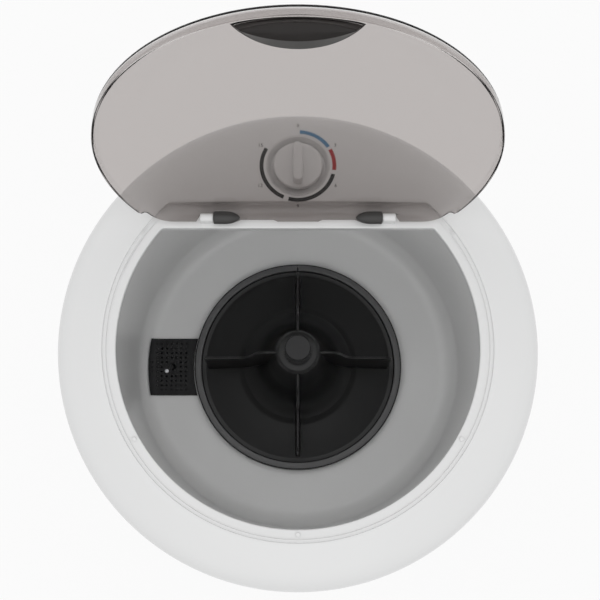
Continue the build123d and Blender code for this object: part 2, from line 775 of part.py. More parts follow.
# timer under the panel
timer_top = -dish_depth - cover_wall
timer = dial_frame * (
    disc(timer_radius, timer_top - timer_depth, timer_top)
    + block(-timer_radius - 6, timer_radius + 6, -9, 9, timer_top - 6, timer_top)
    + block(-14, 14, -10, 10, timer_top - timer_depth - 8, timer_top - timer_depth)
)
for blade in (-8, 0, 8):
    timer += dial_frame * block(
        blade - 0.4, blade + 0.4, -3.1, 3.1, timer_top - timer_depth - 15, timer_top - timer_depth - 8
    )
shaft_depth = 22.0
timer -= dial_frame * disc(timer_shaft_radius + running_clearance, timer_top - shaft_depth - 0.5, timer_top + 1)
for side in (-1, 1):
    timer -= dial_frame * disc(timer_screw_shank, timer_top - 8, timer_top + 1, side * timer_screw_radius)
save("timer_body", timer, dark)
knob_low = -dish_depth + knob_gap
shaft_top = knob_low + 9.0
timer_shaft = disc(timer_shaft_radius, timer_top - shaft_depth, shaft_top)
timer_shaft -= block(
    timer_shaft_radius - timer_shaft_flat, timer_shaft_radius + 1, -5, 5, knob_low, shaft_top + 1
)
save("timer_shaft", dial_frame * timer_shaft, steel)
timer_screws = []
for side in (-1, 1):
    screw = Pos(side * timer_screw_radius, 0, -dish_depth) * pan_screw(timer_screw_shank, 9.0, 3.4, 1.7)
    timer_screws.append(dial_frame * screw)
save("timer_screws", Compound(timer_screws), steel)

# knob: a disc with a bar across it
knob = disc(knob_radius, knob_low, knob_low + knob_disc)
knob = fillet(knob.edges().filter_by(GeomType.CIRCLE).group_by(Axis.Z)[-1], 1.2)
bar = Pos(0, 0, knob_low + knob_disc - 1) * extrude(
    SlotOverall(knob_bar_length, knob_bar_width), knob_bar_rise + 1, taper=2.5
)
bar = Rot(0, 0, 90) * bar
bar = fillet(bar.edges().group_by(Axis.Z)[-1], 1.5)
knob += bar
knob -= disc(timer_shaft_radius, knob_low - 1, shaft_top)
knob += block(
    timer_shaft_radius - timer_shaft_flat, timer_shaft_radius + 0.5, -4, 4, knob_low, shaft_top
)
save("timer_knob", dial_frame * knob, white)

# pulsator: a dished disc, a stepped hub and four thin fins that sweep up to it
pulsator_low = tub_floor + pulsator_gap


def above_floor(points):
    """Profile points given as (radius, height above the tub's floor)."""
    return [(radius, tub_floor + rise) for radius, rise in points]


rim_inner = pulsator_radius - pulsator_rim_width
dish_low_radius = rim_inner - 14.0
dish_low_rise = pulsator_gap + pulsator_wall + 0.6
flare_radius = hub_root_radius + 8.0
flare_rise = plateau_rise + 14.0
dish_top = [
    (rim_inner, pulsator_rim_rise),
    (rim_inner - 3.5, dish_low_rise + 2.0),
    (dish_low_radius, dish_low_rise),
    (plateau_radius + 7, plateau_rise - 5.0),
    (plateau_radius, plateau_rise),
]
outer_edges = [
    profile(
        above_floor(
            [
                (pulsator_radius, pulsator_gap),
                (pulsator_radius, pulsator_rim_rise - 3.0),
                (pulsator_radius - 2.5, pulsator_rim_rise),
                *dish_top,
                (flare_radius, plateau_rise + 1.0),
            ]
        )
    ),
    Bezier(
        (flare_radius, 0, tub_floor + plateau_rise + 1.0),
        (hub_root_radius, 0, tub_floor + plateau_rise + 2.0),
        (hub_root_radius - 2, 0, tub_floor + flare_rise),
    ),
    profile(
        above_floor(
            [
                (hub_root_radius - 2, flare_rise),
                (hub_top_radius, hub_rise - 6.0),
                (hub_top_radius - 2, hub_rise - 1.5),
                (hub_top_radius - 6, hub_rise),
                (0, hub_rise),
                (0, pulsator_gap),
                (pulsator_radius, pulsator_gap),
            ]
        )
    ),
]
pulsator = turned(outer_edges, tub_offset)
under_plateau = plateau_rise - pulsator_wall
under_hub = hub_rise - 6.0
hollow_points = [
    (pulsator_radius - pulsator_wall, pulsator_gap - 1),
    (pulsator_radius - pulsator_wall, pulsator_rim_rise - pulsator_wall),
    (rim_inner + 0.5, pulsator_rim_rise - pulsator_wall),
    (rim_inner - 5.5, dish_low_rise - 0.8),
    (dish_low_radius - 1, dish_low_rise - pulsator_wall + 0.4),
    (plateau_radius + 7, plateau_rise - 5.0 - pulsator_wall),
    (plateau_radius - 1, under_plateau),
    (flare_radius - 3, under_plateau + 1),
    (hub_root_radius - 2 - pulsator_wall - 1, flare_rise),
    (hub_top_radius - pulsator_wall, under_hub),
    (shaft_boss_radius, under_hub),
    (shaft_boss_radius, housing_rise + 3),
    (0, housing_rise + 3),
    (0, pulsator_gap - 1),
    (pulsator_radius - pulsator_wall, pulsator_gap - 1),
]
pulsator -= turned([profile(above_floor(hollow_points))], tub_offset)
fin_foot = [(radius, rise - 1.6) for radius, rise in dish_top[2:]]
fin_outline = [
    Line((fin_reach, 0, tub_floor + dish_low_rise - 1.0), (fin_reach - 1.5, 0, tub_floor + fin_rise - 7)),
    Bezier(
        (fin_reach - 1.5, 0, tub_floor + fin_rise - 7),
        (fin_reach - 2, 0, tub_floor + fin_rise),
        (fin_reach - 9, 0, tub_floor + fin_rise),
    ),
    Line((fin_reach - 9, 0, tub_floor + fin_rise), (fin_step_radius + 8, 0, tub_floor + fin_rise)),
    Bezier(
        (fin_step_radius + 8, 0, tub_floor + fin_rise),
        (fin_step_radius - 3, 0, tub_floor + fin_rise + 1),
        (fin_step_radius + 2, 0, tub_floor + fin_hub_rise - 3),
        (fin_step_radius - 10, 0, tub_floor + fin_hub_rise),
    ),
    profile(
        [
            (fin_step_radius - 10, tub_floor + fin_hub_rise),
            (hub_top_radius - 2, tub_floor + fin_hub_rise),
            (hub_root_radius - 4, tub_floor + flare_rise),
            (flare_radius, tub_floor + plateau_rise - 1.6),
            *[(radius, tub_floor + rise) for radius, rise in reversed(fin_foot)],
            (fin_reach, tub_floor + dish_low_rise - 1.0),
        ]
    ),
]
fin = extrude(make_face(fin_outline), fin_thickness / 2, both=True)
for quarter in range(fin_count):
    pulsator += Pos(0, tub_offset, 0) * (Rot(0, 0, quarter * 360 / fin_count) * fin)
under_rib_low = pulsator_gap + 0.8
for spoke in range(8):
    low = tub_floor + under_rib_low
    under_rib = block(flare_radius - 6, dish_low_radius - 4, -1.2, 1.2, low, tub_floor + plateau_rise - 6)
    under_rib = under_rib & disc(pulsator_radius, low, tub_floor + 60)
    under_rib = under_rib - Pos(0, 0, 0) * turned(
        [
            profile(
                above_floor(
                    [
                        (dish_low_radius + 10, dish_low_rise - 1.5),
                        (dish_low_radius, dish_low_rise - 1.5),
                        (plateau_radius + 7, plateau_rise - 6.5),
                        (plateau_radius, plateau_rise - 1.5),
                        (plateau_radius, plateau_rise + 20),
                        (dish_low_radius + 10, plateau_rise + 20),
                        (dish_low_radius + 10, dish_low_rise - 1.5),
                    ]
                )
            )
        ]
    )
    pulsator += Pos(0, tub_offset, 0) * (Rot(0, 0, 22.5 + 45 * spoke) * under_rib)
seat_rise = shaft_top_rise + 6.0
cap_bore = 8.6
pulsator -= disc(shaft_radius, tub_floor, tub_floor + shaft_top_rise, 0, tub_offset)
pulsator -= disc(3.0, tub_floor, tub_floor + seat_rise + 1, 0, tub_offset)
pulsator -= disc(cap_bore, tub_floor + seat_rise, tub_floor + hub_rise + 1, 0, tub_offset)
save("pulsator", pulsator, dark)
cap_low = tub_floor + hub_rise
cap_top = tub_floor + hub_cap_rise
cap_outline = [
    profile([(0, cap_top), (hub_cap_radius - 7, cap_top)]),
    ThreePointArc(
        (hub_cap_radius - 7, 0, cap_top),
        (hub_cap_radius - 1.6, 0, cap_top - 2.2),
        (hub_cap_radius, 0, cap_top - 8),
    ),
    profile(
        [
            (hub_cap_radius, cap_top - 8),
            (hub_cap_radius + 0.8, cap_low),
            (cap_bore - 0.05, cap_low),
            (cap_bore - 0.05, cap_low - 14),
            (cap_bore - 2.2, cap_low - 14),
            (cap_bore - 2.2, cap_top - 4),
            (0, cap_top - 4),
            (0, cap_top),
        ]
    ),
]
save("pulsator_cap", turned(cap_outline, tub_offset), dark)
pulsator_screw = Pos(0, tub_offset, tub_floor + seat_rise) * pan_screw(2.9, 24.0, 5.6, 3.6)
save("pulsator_screw", pulsator_screw, steel)

# shaft, with a threaded hole at the top and a nut below the pulley
shaft_top = tub_floor + shaft_top_rise
shaft_bottom = tub_under - shaft_bottom_drop
shaft = disc(shaft_radius, shaft_bottom, shaft_top, 0, tub_offset)
shaft -= disc(2.9, shaft_top - 20, shaft_top + 1, 0, tub_offset)
save("pulsator_shaft", shaft, steel)

# housing through the floor of the tub
housing_top = tub_floor + housing_rise
housing_low = tub_under - housing_drop
flange_top = tub_under - gasket_thickness
housing = disc(housing_radius, housing_low, housing_top, 0, tub_offset)
housing += disc(housing_flange_radius, flange_top - housing_flange, flange_top, 0, tub_offset)
for spoke in range(6):
    gusset = Polygon(
        (housing_radius - 1, 0), (housing_flange_radius - 2, 0), (housing_radius - 1, -44), align=None
    )
    gusset = Rot(90, 0, 0) * extrude(gusset, 1.5, both=True)
    gusset = Pos(0, tub_offset, flange_top - housing_flange) * (Rot(0, 0, 60 * spoke) * gusset)
    housing += gusset
bearing_bore = shaft_radius + running_clearance
housing -= disc(bush_radius - 1.5, housing_low - 1, housing_top + 1, 0, tub_offset)
upper_bush_top = housing_top - seal_height - 1.5
housing -= disc(bush_radius, upper_bush_top - bush_length, housing_top + 1, 0, tub_offset)
housing -= disc(seal_radius, housing_top - seal_height, housing_top + 1, 0, tub_offset)
housing -= disc(bush_radius, housing_low - 1, housing_low + bush_length, 0, tub_offset)
save("shaft_housing", housing, grey)
upper_bush = ring(bush_radius, bearing_bore, upper_bush_top - bush_length, upper_bush_top, 0, tub_offset)
save("upper_bush", upper_bush, steel)
lower_bush = ring(bush_radius, bearing_bore, housing_low, housing_low + bush_length, 0, tub_offset)
save("lower_bush", lower_bush, steel)
seal = ring(seal_radius, bearing_bore, housing_top - seal_height, housing_top, 0, tub_offset)
seal -= ring(seal_radius - 3, bearing_bore + 2.5, housing_top - 3, housing_top + 1, 0, tub_offset)
save("shaft_seal", seal, rubber)
gasket = ring(housing_flange_radius - 2, housing_radius, flange_top, tub_under, 0, tub_offset)
save("housing_gasket", gasket, rubber)
nut_face = RegularPolygon(housing_nut_flats / 2, 6, major_radius=False)
housing_nut = Pos(0, tub_offset, tub_floor) * extrude(nut_face, housing_nut_height)
housing_nut += disc(housing_nut_flats / 2 + 5, tub_floor, tub_floor + 1.6, 0, tub_offset)
housing_nut -= disc(housing_radius, tub_floor - 1, tub_floor + 20, 0, tub_offset)
save("housing_nut", housing_nut, grey)

# pulleys and belt, all in one plane
belt_outer = pulley_radius - belt_sink
groove_slope = (belt_half_width - belt_inner_half) / belt_height


def grooved(radius, half):
    """Outline of a pulley's rim with a tapered groove that leaves a gap round the belt."""
    mouth = belt_half_width + belt_clearance + belt_sink * groove_slope
    root = mouth - groove_depth * groove_slope
    return [
        (radius, pulley_height - half),
        (radius, pulley_height - mouth),
        (radius - groove_depth, pulley_height - root),
        (radius - groove_depth, pulley_height + root),
        (radius, pulley_height + mouth),
        (radius, pulley_height + half),
    ]


half_rim = pulley_rim / 2
rim_inside = pulley_radius - groove_depth - 4
web_half = 2.5
pulley_outline = grooved(pulley_radius, half_rim) + [
    (rim_inside, pulley_height + half_rim),
    (rim_inside, pulley_height + web_half),
    (pulley_hub_radius, pulley_height + web_half),
    (pulley_hub_radius, pulley_height + 12),
    (shaft_radius, pulley_height + 12),
    (shaft_radius, pulley_height - 12),
    (pulley_hub_radius, pulley_height - 12),
    (pulley_hub_radius, pulley_height - web_half),
    (rim_inside, pulley_height - web_half),
    (rim_inside, pulley_height - half_rim),
    (pulley_radius, pulley_height - half_rim),
]
pulley = turned([profile(pulley_outline)], tub_offset)
hole_circle = (pulley_hub_radius + rim_inside) / 2
for hole in range(pulley_holes):
    x, y = polar(hole_circle, 90 + 360 * hole / pulley_holes)
    pulley -= disc(19.0, pulley_height - 5, pulley_height + 5, x, y + tub_offset)
for spoke in range(pulley_holes):
    rib = block(
        pulley_hub_radius - 1, rim_inside + 1, -1.5, 1.5, pulley_height - half_rim + 1, pulley_height + half_rim - 1
    )
    pulley += Pos(0, tub_offset, 0) * (Rot(0, 0, 90 + 36 + 72 * spoke) * rib)
save("driven_pulley", pulley, dark)
nut_top = pulley_height - 12
pulley_nut = Pos(0, tub_offset, nut_top - 6) * extrude(RegularPolygon(9, 6, major_radius=False), 6)
pulley_nut += disc(11.5, nut_top - 1.5, nut_top, 0, tub_offset)
pulley_nut -= disc(shaft_radius, nut_top - 10, nut_top + 1, 0, tub_offset)
save("pulley_nut", pulley_nut, steel)

motor_half_hub = 12.0
motor_pulley = turned(
    [
        profile(
            grooved(motor_pulley_radius, half_rim)
            + [
                (11.0, pulley_height + half_rim),
                (motor_shaft_radius, pulley_height + half_rim),
                (motor_shaft_radius, pulley_height - half_rim - 9),
                (11.0, pulley_height - half_rim - 9),
                (11.0, pulley_height - half_rim),
                (motor_pulley_radius, pulley_height - half_rim),
            ]
        )
    ]
)
grub_height = pulley_height - half_rim - 4.5
grub_radius = 2.0
motor_pulley -= Pos(0, 0, grub_height) * (Rot(0, 90, 0) * disc(grub_radius, 2, 20))
motor_place = Pos(motor_distance, tub_offset, 0)
save("motor_pulley", motor_place * motor_pulley, dark)
grub = Pos(0, 0, grub_height) * (Rot(0, 90, 0) * disc(grub_radius, motor_shaft_radius, 11.5))
save("pulley_grub_screw", motor_place * grub, steel)


belt_lean = math.degrees(math.acos((pulley_radius - motor_pulley_radius) / motor_distance))
belt_run = motor_distance * math.sin(math.radians(belt_lean))


def belt_section(outer, angle):
    """The belt's tapered section, standing on a radius at an angle about +Z."""
    inner = outer - belt_height
    outline = profile(
        [
            (outer, -belt_half_width),
            (outer, belt_half_width),
            (inner, belt_inner_half),
            (inner, -belt_inner_half),
            (outer, -belt_half_width),
        ]
    )
    return Rot(0, 0, angle) * make_face(outline)


small_outer = motor_pulley_radius - belt_sink
belt = revolve(belt_section(belt_outer, belt_lean), Axis.Z, 360 - 2 * belt_lean)
belt += Pos(motor_distance, 0, 0) * revolve(belt_section(small_outer, -belt_lean), Axis.Z, 2 * belt_lean)
for side in (-1, 1):
    lean = math.radians(belt_lean)
    along = (math.sin(lean), -side * math.cos(lean), 0)
    belt += extrude(belt_section(belt_outer, side * belt_lean), belt_run, dir=along)
save("drive_belt", Pos(0, tub_offset, pulley_height) * belt, rubber)

# motor, hung from a bracket under the tub
motor_top = tub_under - motor_top_drop
stack_top = motor_top - motor_cap_height
stack_low = stack_top - motor_stack_height
motor_low = stack_low - motor_cap_height
rotor = disc(motor_shaft_radius, pulley_height - half_rim - 9, motor_top - 6)
rotor += disc(rotor_radius, stack_low, stack_top)
rotor += ring(rotor_radius, rotor_radius - 6, stack_low - 6, stack_top + 6)
save("motor_rotor", motor_place * rotor, steel)
clamp_radius = motor_radius - 7.5
clamp_shank = 2.2
stack = ring(motor_radius, rotor_radius + rotor_gap, stack_low, stack_top)
winding = ring(48, 37, stack_top, stack_top + 14) + ring(48, 37, stack_low - 14, stack_low)
bearing_radius = 9.0


def motor_cap():
    """An end cap as an upside-down cup from z 0 to its height, open below, with a bearing boss."""
    cap_shape = disc(motor_radius, 0, motor_cap_height)
    cap_shape = chamfer(cap_shape.edges().filter_by(GeomType.CIRCLE).group_by(Axis.Z)[-1], 8)
    inside = disc(motor_radius - motor_wall, -1, motor_cap_height - motor_wall)
    inside = chamfer(inside.edges().filter_by(GeomType.CIRCLE).group_by(Axis.Z)[-1], 7)
    cap_shape -= inside
    cap_shape += disc(14, motor_cap_height - 17, motor_cap_height - 1)
    for corner in range(4):
        x, y = polar(clamp_radius, 90 * corner)
        cap_shape += disc(5.5, 0, motor_cap_height - 6, x, y)
    for slot in range(8):
        vent = block(44, motor_radius + 3, -6, 6, 9, motor_cap_height - 12)
        cap_shape -= Rot(0, 0, 22.5 + 45 * slot) * vent
    for corner in range(4):
        x, y = polar(clamp_radius, 90 * corner)
        cap_shape -= disc(clamp_shank, -1, motor_cap_height + 1, x, y)
    cap_shape -= disc(bearing_radius, motor_cap_height - 18, motor_cap_height - 5)
    return cap_shape


top_cap = motor_cap()
lug_low = tub_under - bracket_boss - bracket_thickness - grommet_height - motor_lug - (stack_top)
for corner in range(4):
    x, y = polar(motor_bolt_radius, 45 + 90 * corner)
    reach = Rot(0, 0, 45 + 90 * corner) * block(
        motor_radius - 4, motor_bolt_radius, -7, 7, lug_low, lug_low + motor_lug
    )
    top_cap += reach + disc(7, lug_low, lug_low + motor_lug, x, y)
for corner in range(4):
    x, y = polar(motor_bolt_radius, 45 + 90 * corner)
    top_cap -= disc(motor_bolt_shank, lug_low - 5, lug_low + 10, x, y)
bottom_cap = motor_cap() - disc(motor_shaft_radius + 1, 0, motor_cap_height + 1)
bottom_cap = Pos(0, 0, stack_low) * mirror(bottom_cap, Plane.XY)
top_cap = Pos(0, 0, stack_top) * top_cap
for corner in range(4):
    x, y = polar(clamp_radius, 90 * corner)
    stack -= disc(clamp_shank, stack_low - 1, stack_top + 1, x, y)
save("motor_stack", motor_place * stack, steel)
save("motor_windings", motor_place * winding, (0.72, 0.40, 0.20))
save("upper_end_cap", motor_place * top_cap, grey)
save("lower_end_cap", motor_place * bottom_cap, grey)
bearings = ring(bearing_radius, motor_shaft_radius + running_clearance, stack_top + 15, stack_top + 27)
bearings += ring(bearing_radius, motor_shaft_radius + running_clearance, stack_low - 27, stack_low - 15)
save("motor_bearings", motor_place * bearings, steel)
clamp_screws = []
for corner in range(4):
    x, y = polar(clamp_radius, 90 * corner)
    length = motor_stack_height + 2 * motor_cap_height - 8
    clamp_screws.append(Pos(x, y, motor_low) * (Rot(180, 0, 0) * pan_screw(clamp_shank, length, 4.2, 2.6)))
save("motor_screws", motor_place * Compound(clamp_screws), steel)

plate_top = tub_under - bracket_boss
plate_low = plate_top - bracket_thickness
reach = motor_bolt_radius * math.cos(math.radians(45)) + 9
bracket_x_low = bracket_screw_x[0] - 11
bracket_x_high = motor_distance + reach
bracket_y = reach + 8
bracket = block(bracket_x_low, bracket_x_high, -bracket_y, bracket_y, plate_low, plate_top)
bracket = fillet(bracket.edges().filter_by(Axis.Z), 8)
for side in (-1, 1):
    y_low = min(side * bracket_y, side * (bracket_y - bracket_thickness))
    bracket += block(
        bracket_x_low + 8, bracket_x_high - 8, y_low, y_low + bracket_thickness, plate_low - 12, plate_top
    )
bracket -= disc(36, plate_low - 1, plate_top + 1, motor_distance, 0)
for corner in range(4):
    x, y = polar(motor_bolt_radius, 45 + 90 * corner)
    bracket -= disc(motor_bolt_shank, plate_low - 1, plate_top + 1, x + motor_distance, y)
bracket = Pos(0, tub_offset, 0) * bracket
for x, y in bracket_spots:
    bracket -= disc(2.7, plate_low - 1, plate_top + 1, x, y)
save("motor_bracket", bracket, steel)
bracket_screws = []
for x, y in bracket_spots:
    screw = Rot(180, 0, 0) * pan_screw(2.4, bracket_thickness + bracket_boss + 1.4, 4.6, 2.0)
    bracket_screws.append(Pos(x, y, plate_low) * screw)
save("bracket_screws", Compound(bracket_screws), steel)
grommets = []
bolts = []
for corner in range(4):
    x, y = polar(motor_bolt_radius, 45 + 90 * corner)
    grommets.append(ring(8, motor_bolt_shank, plate_low - grommet_height, plate_low, x, y))
    length = motor_lug + grommet_height + bracket_thickness
    head = plate_low - grommet_height - motor_lug
    bolts.append(Pos(x, y, head) * (Rot(180, 0, 0) * pan_screw(motor_bolt_shank, length, 5.2, 3.4)))
save("motor_grommets", motor_place * Compound(grommets), rubber)
save("motor_bolts", motor_place * Compound(bolts), steel)

# capacitor in a strap under the tub
capacitor_axis = Pos(capacitor_x, tub_offset + capacitor_y, tub_under - capacitor_drop) * Rot(90, 0, 0)
capacitor = disc(capacitor_radius, -capacitor_length / 2, capacitor_length / 2)
capacitor = fillet(capacitor.edges().filter_by(GeomType.CIRCLE), 2.0)
for side in (-1, 1):
    capacitor += block(
        side * 7 - 3, side * 7 + 3, -0.4, 0.4, capacitor_length / 2 - 0.5, capacitor_length / 2 + 8
    )
save("capacitor", capacitor_axis * capacitor, grey)
strap_wall = 1.5
strap_width = 16.0
strap_x = capacitor_x
strap_y = tub_offset + capacitor_y
strap_axis_height = tub_under - capacitor_drop
strap_outer = capacitor_radius + strap_wall


def across(radius, x, z):
    """A cylinder along Y the width of the strap."""
    return Pos(x, strap_y, z) * (Rot(90, 0, 0) * Cylinder(radius, strap_width))


strap = across(strap_outer, strap_x, strap_axis_height)
strap += block(
    strap_x - strap_outer,
    strap_x + strap_outer,
    strap_y - strap_width / 2,
    strap_y + strap_width / 2,
    strap_axis_height,
    rib_low,
)
strap -= across(capacitor_radius + fit_gap, strap_x, strap_axis_height)
strap -= block(
    strap_x - capacitor_radius - fit_gap,
    strap_x + capacitor_radius + fit_gap,
    strap_y - 20,
    strap_y + 20,
    strap_axis_height,
    rib_low + 1,
)
for side in (-1, 1):
    tab_inner = side * (strap_outer - strap_wall)
    tab_outer = side * (capacitor_tab + 8)
    strap += block(
        strap_x + min(tab_inner, tab_outer),
        strap_x + max(tab_inner, tab_outer),
        strap_y - strap_width / 2,
        strap_y + strap_width / 2,
        rib_low - strap_wall,
        rib_low,
    )
for x, y in clamp_spots:
    strap -= disc(2.2, rib_low - 5, rib_low + 1, x, y)
save("capacitor_strap", strap, steel)
strap_screws = []
for x, y in clamp_spots:
    screw = Rot(180, 0, 0) * pan_screw(1.9, bracket_boss + strap_wall + 1.4, 3.8, 2.0)
    strap_screws.append(Pos(x, y, rib_low - strap_wall) * screw)
save("strap_screws", Compound(strap_screws), steel)

# lid, shaped closed and then swung open about the hinge line
lid_axis_height = hinge_height
lid_rear = hinge_y + lid_rear_reach


def lid_space(inset, low):
    """The space under the lid's outer surface, inset by a wall, down to a height."""
    edge = lid_radius - inset
    edge_top = lid_axis_height + lid_edge_rise - inset * 0.4
    shoulder = lid_radius - lid_shoulder_width
    shoulder_top = lid_axis_height + lid_shoulder_rise - inset
    crown = lid_axis_height + lid_crown_rise - inset
    slope = 2 * (crown - shoulder_top) / shoulder
    bend = shoulder_top - slope * (edge - shoulder) * 0.6
    edges = [
        Bezier((0, 0, crown), (shoulder / 2, 0, crown), (shoulder, 0, shoulder_top)),
        Bezier(
            (shoulder, 0, shoulder_top),
            (shoulder + (edge - shoulder) * 0.6, 0, bend),
            (edge, 0, bend - 1.0),
            (edge, 0, edge_top),
        ),
        profile([(edge, edge_top), (edge, low), (0, low), (0, crown)]),
    ]
    solid = turned(edges) & d_prism(edge + 3, lid_rear - inset, low, crown + 5)
    return solid & d_prism(edge, lid_rear - inset, low - 5, crown + 9, corner=lid_corner - inset)


rim_foot = lid_axis_height - lid_rim_depth
lid = lid_space(0.0, rim_foot) - lid_space(lid_wall, rim_foot - 5)
rear_foot = lid_axis_height + lid_rear_wall_foot
lid -= block(-body_radius, body_radius, hinge_y - 18, body_radius, rim_foot - 1, rear_foot)
notch_outer = knuckle_inner - hinge_cap_length
notch_inner = 22.5
notch_rise = 2.0
for side in (-1, 1):
    x_low = min(side * notch_inner, side * notch_outer)
    x_high = max(side * notch_inner, side * notch_outer)
    lid -= block(x_low, x_high, lid_rear - lid_wall - 0.5, lid_rear + 1, rear_foot - 1, rear_foot + notch_rise)
    x_low = min(side * (hinge_knuckle_outer + 1), side * (knuckle_inner - 1))
    x_high = max(side * (hinge_knuckle_outer + 1), side * (knuckle_inner - 1))
    lid -= block(
        x_low, x_high, hinge_y - 7, lid_rear + 1, rear_foot - 1, lid_axis_height + hinge_knuckle_radius + 3.4
    )


def hinge_cap(side, grow=0.0):
    """A bullet-shaped cap round the pin, its wide end towards the knuckle."""
    wide = knuckle_inner - hinge_gap
    tip = wide - hinge_cap_length - grow
    radius = hinge_cap_radius + grow
    edges = [
        Line((wide, 0, 0), (wide, 0, radius)),
        Line((wide, 0, radius), (wide - hinge_cap_length * 0.4, 0, radius)),
        Bezier(
            (wide - hinge_cap_length * 0.4, 0, radius),
            (wide - hinge_cap_length * 0.85, 0, radius),
            (tip, 0, radius * 0.25),
        ),
        Line((tip, 0, radius * 0.25), (tip, 0, 0)),
        Line((tip, 0, 0), (wide, 0, 0)),
    ]
    cap = revolve(make_face(edges), Axis.X)
    if side < 0:
        cap = mirror(cap, Plane.YZ)
    return hinge_line * cap


for side in (-1, 1):
    lid -= hinge_cap(side, 0.05)


def lens(outer, inner, height, half_width, tip):
    """A lens of two arcs that meet at the side tips, at a height."""
    left = (-half_width, -tip, height)
    right = (half_width, -tip, height)
    return make_face([ThreePointArc(left, (0, -outer, height), right), ThreePointArc(right, (0, -inner, height), left)])


lid_shoulder = lid_radius - lid_shoulder_width
grip_share = grip_middle / lid_shoulder
lid_fall = lid_crown_rise - lid_shoulder_rise
grip_surface = lid_axis_height + lid_crown_rise - lid_fall * grip_share**2
grip_top = grip_surface + grip_stand
grip_low = grip_top - grip_depth
grip_lean = math.degrees(math.atan(2 * lid_fall * grip_share / lid_shoulder))
grip_place = Pos(0, -grip_middle, grip_top) * Rot(grip_lean, 0, 0) * Pos(0, grip_middle, -grip_top)


def grip_block(inset, low, high, floor_inner):
    """The cup of the grip: steep on the rim's side, sloped on the side of the lid's middle."""
    top = lens(grip_outer - inset, grip_inner + inset, high, grip_half_width - 2 * inset, grip_tip)
    bottom = lens(grip_outer - inset - 1, floor_inner + inset, low, grip_half_width - 3 * inset - 2, grip_tip)
    return loft([bottom, top], ruled=True)


def bezel(grow, low, high):
    """The space inside the outline of the grip's bezel."""
    reach = grip_flange + grow
    face = lens(grip_outer + reach, grip_inner - reach, low, grip_half_width + 2 * reach, grip_tip)
    return extrude(face, high - low)


cup = grip_block(0.0, grip_low, grip_top, grip_floor_inner)
cup += bezel(0.0, grip_top - grip_bezel, grip_top)
cup -= grip_block(grip_wall, grip_low + grip_wall, grip_top + 0.02, grip_floor_inner)
cup = grip_place * cup
lid -= grip_place * bezel(0.0, grip_low - 6, grip_top + 6)


def swing_open(shape):
    """Turn a closed-lid shape about the hinge line to its open rest position."""
    return hinge_line * (Rot(-lid_open_angle, 0, 0) * (Pos(0, -hinge_y, -hinge_height) * shape))


pins = []
for side in (-1, 1):
    start = side * (hinge_knuckle_outer - 2)
    end = side * (hinge_knuckle_outer - 2 - hinge_pin_length)
    pins.append(along_hinge(hinge_pin_radius, min(start, end), max(start, end)))
save("lid", swing_open(lid), smoke)
save("lid_grip", swing_open(cup), dark)
for side, name in ((-1, "left_hinge_cap"), (1, "right_hinge_cap")):
    cap = hinge_cap(side)
    start = side * (hinge_knuckle_outer - 2)
    end = side * (hinge_knuckle_outer - 2 - hinge_pin_length)
    cap -= along_hinge(hinge_pin_radius, min(start, end), max(start, end))
    save(name, swing_open(cap), dark)
save("hinge_pins", swing_open(Compound(pins)), steel)

print(len(written), "nodes")
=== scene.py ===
"""Round washing machine with an open smoky lid, dressed for a studio picture.

Lengths in the shape functions are in millimetres. Meshes are written in metres.
"""

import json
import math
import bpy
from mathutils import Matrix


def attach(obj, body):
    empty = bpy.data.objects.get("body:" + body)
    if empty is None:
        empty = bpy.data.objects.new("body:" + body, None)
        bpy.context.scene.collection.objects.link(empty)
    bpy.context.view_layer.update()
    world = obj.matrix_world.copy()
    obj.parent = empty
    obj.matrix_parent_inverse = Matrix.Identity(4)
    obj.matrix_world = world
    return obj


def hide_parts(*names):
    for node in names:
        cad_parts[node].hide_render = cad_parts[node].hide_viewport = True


bl_info = {
    "name": "Round washing machine",
    "version": (1, 0, 0),
    "blender": (4, 5, 0),
    "location": "View3D > Sidebar > Washer",
    "description": "Builds a round washing machine's smooth surfaces, finishes, lights and camera",
    "category": "Object",
}

import bmesh
import bpy
import numpy as np
from bpy.props import FloatProperty, FloatVectorProperty, PointerProperty
from mathutils import Matrix, Vector

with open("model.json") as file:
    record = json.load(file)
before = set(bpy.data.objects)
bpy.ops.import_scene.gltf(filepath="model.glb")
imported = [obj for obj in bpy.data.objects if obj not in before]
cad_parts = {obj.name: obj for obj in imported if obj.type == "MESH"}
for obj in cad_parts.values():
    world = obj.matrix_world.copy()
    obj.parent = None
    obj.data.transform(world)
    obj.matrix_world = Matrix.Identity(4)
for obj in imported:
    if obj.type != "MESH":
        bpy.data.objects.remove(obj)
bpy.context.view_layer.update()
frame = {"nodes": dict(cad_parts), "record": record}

MM = 0.001

# top cover: the opening's rim, the crown's middle and its flat part, the dome's and body's radius
RIM = 740.0
CROWN = 750.8
CROWN_FLAT = 134.0
DOME = 322.0
BODY = 246.0
DIAL_Y = 186.2

TUB_Y = 18.0
TUB_FLOOR = 399.0
TUB_CORNER = 23.0
FLOOR_FLAT = 171.8

HINGE_Y = 129.5
HINGE_Z = 750.5
LID_OPEN = math.radians(110.5)

# lid: its radius and straight rear edge, the run of its shoulder, heights above the hinge line
LID_EDGE = 193.6
LID_REAR = 135.1
LID_CORNER = 28.0
SHOULDER_RUN = 27.0
LID_CROWN = 15.0
LID_SHOULDER = 10.0

# hole for the grip: how far its front and rear arcs reach, its half width, and where its tips lie
GRIP_HOLE = (173.0, 127.8, 56.0, 162.0)
GRIP_MIDDLE = 160.0


# shape helpers


def join(*axes):
    """Points from arrays of coordinates, which are stretched to one shape."""
    return np.stack(np.broadcast_arrays(*axes), -1)


def rays(angle):
    """Plan points at a distance of one from the axis: x = cos t, y = sin t."""
    return join(np.cos(angle), np.sin(angle))


def raised(plan, height):
    """Plan points with a height, a number or one for each point."""
    return join(plan[..., 0], plan[..., 1], height)


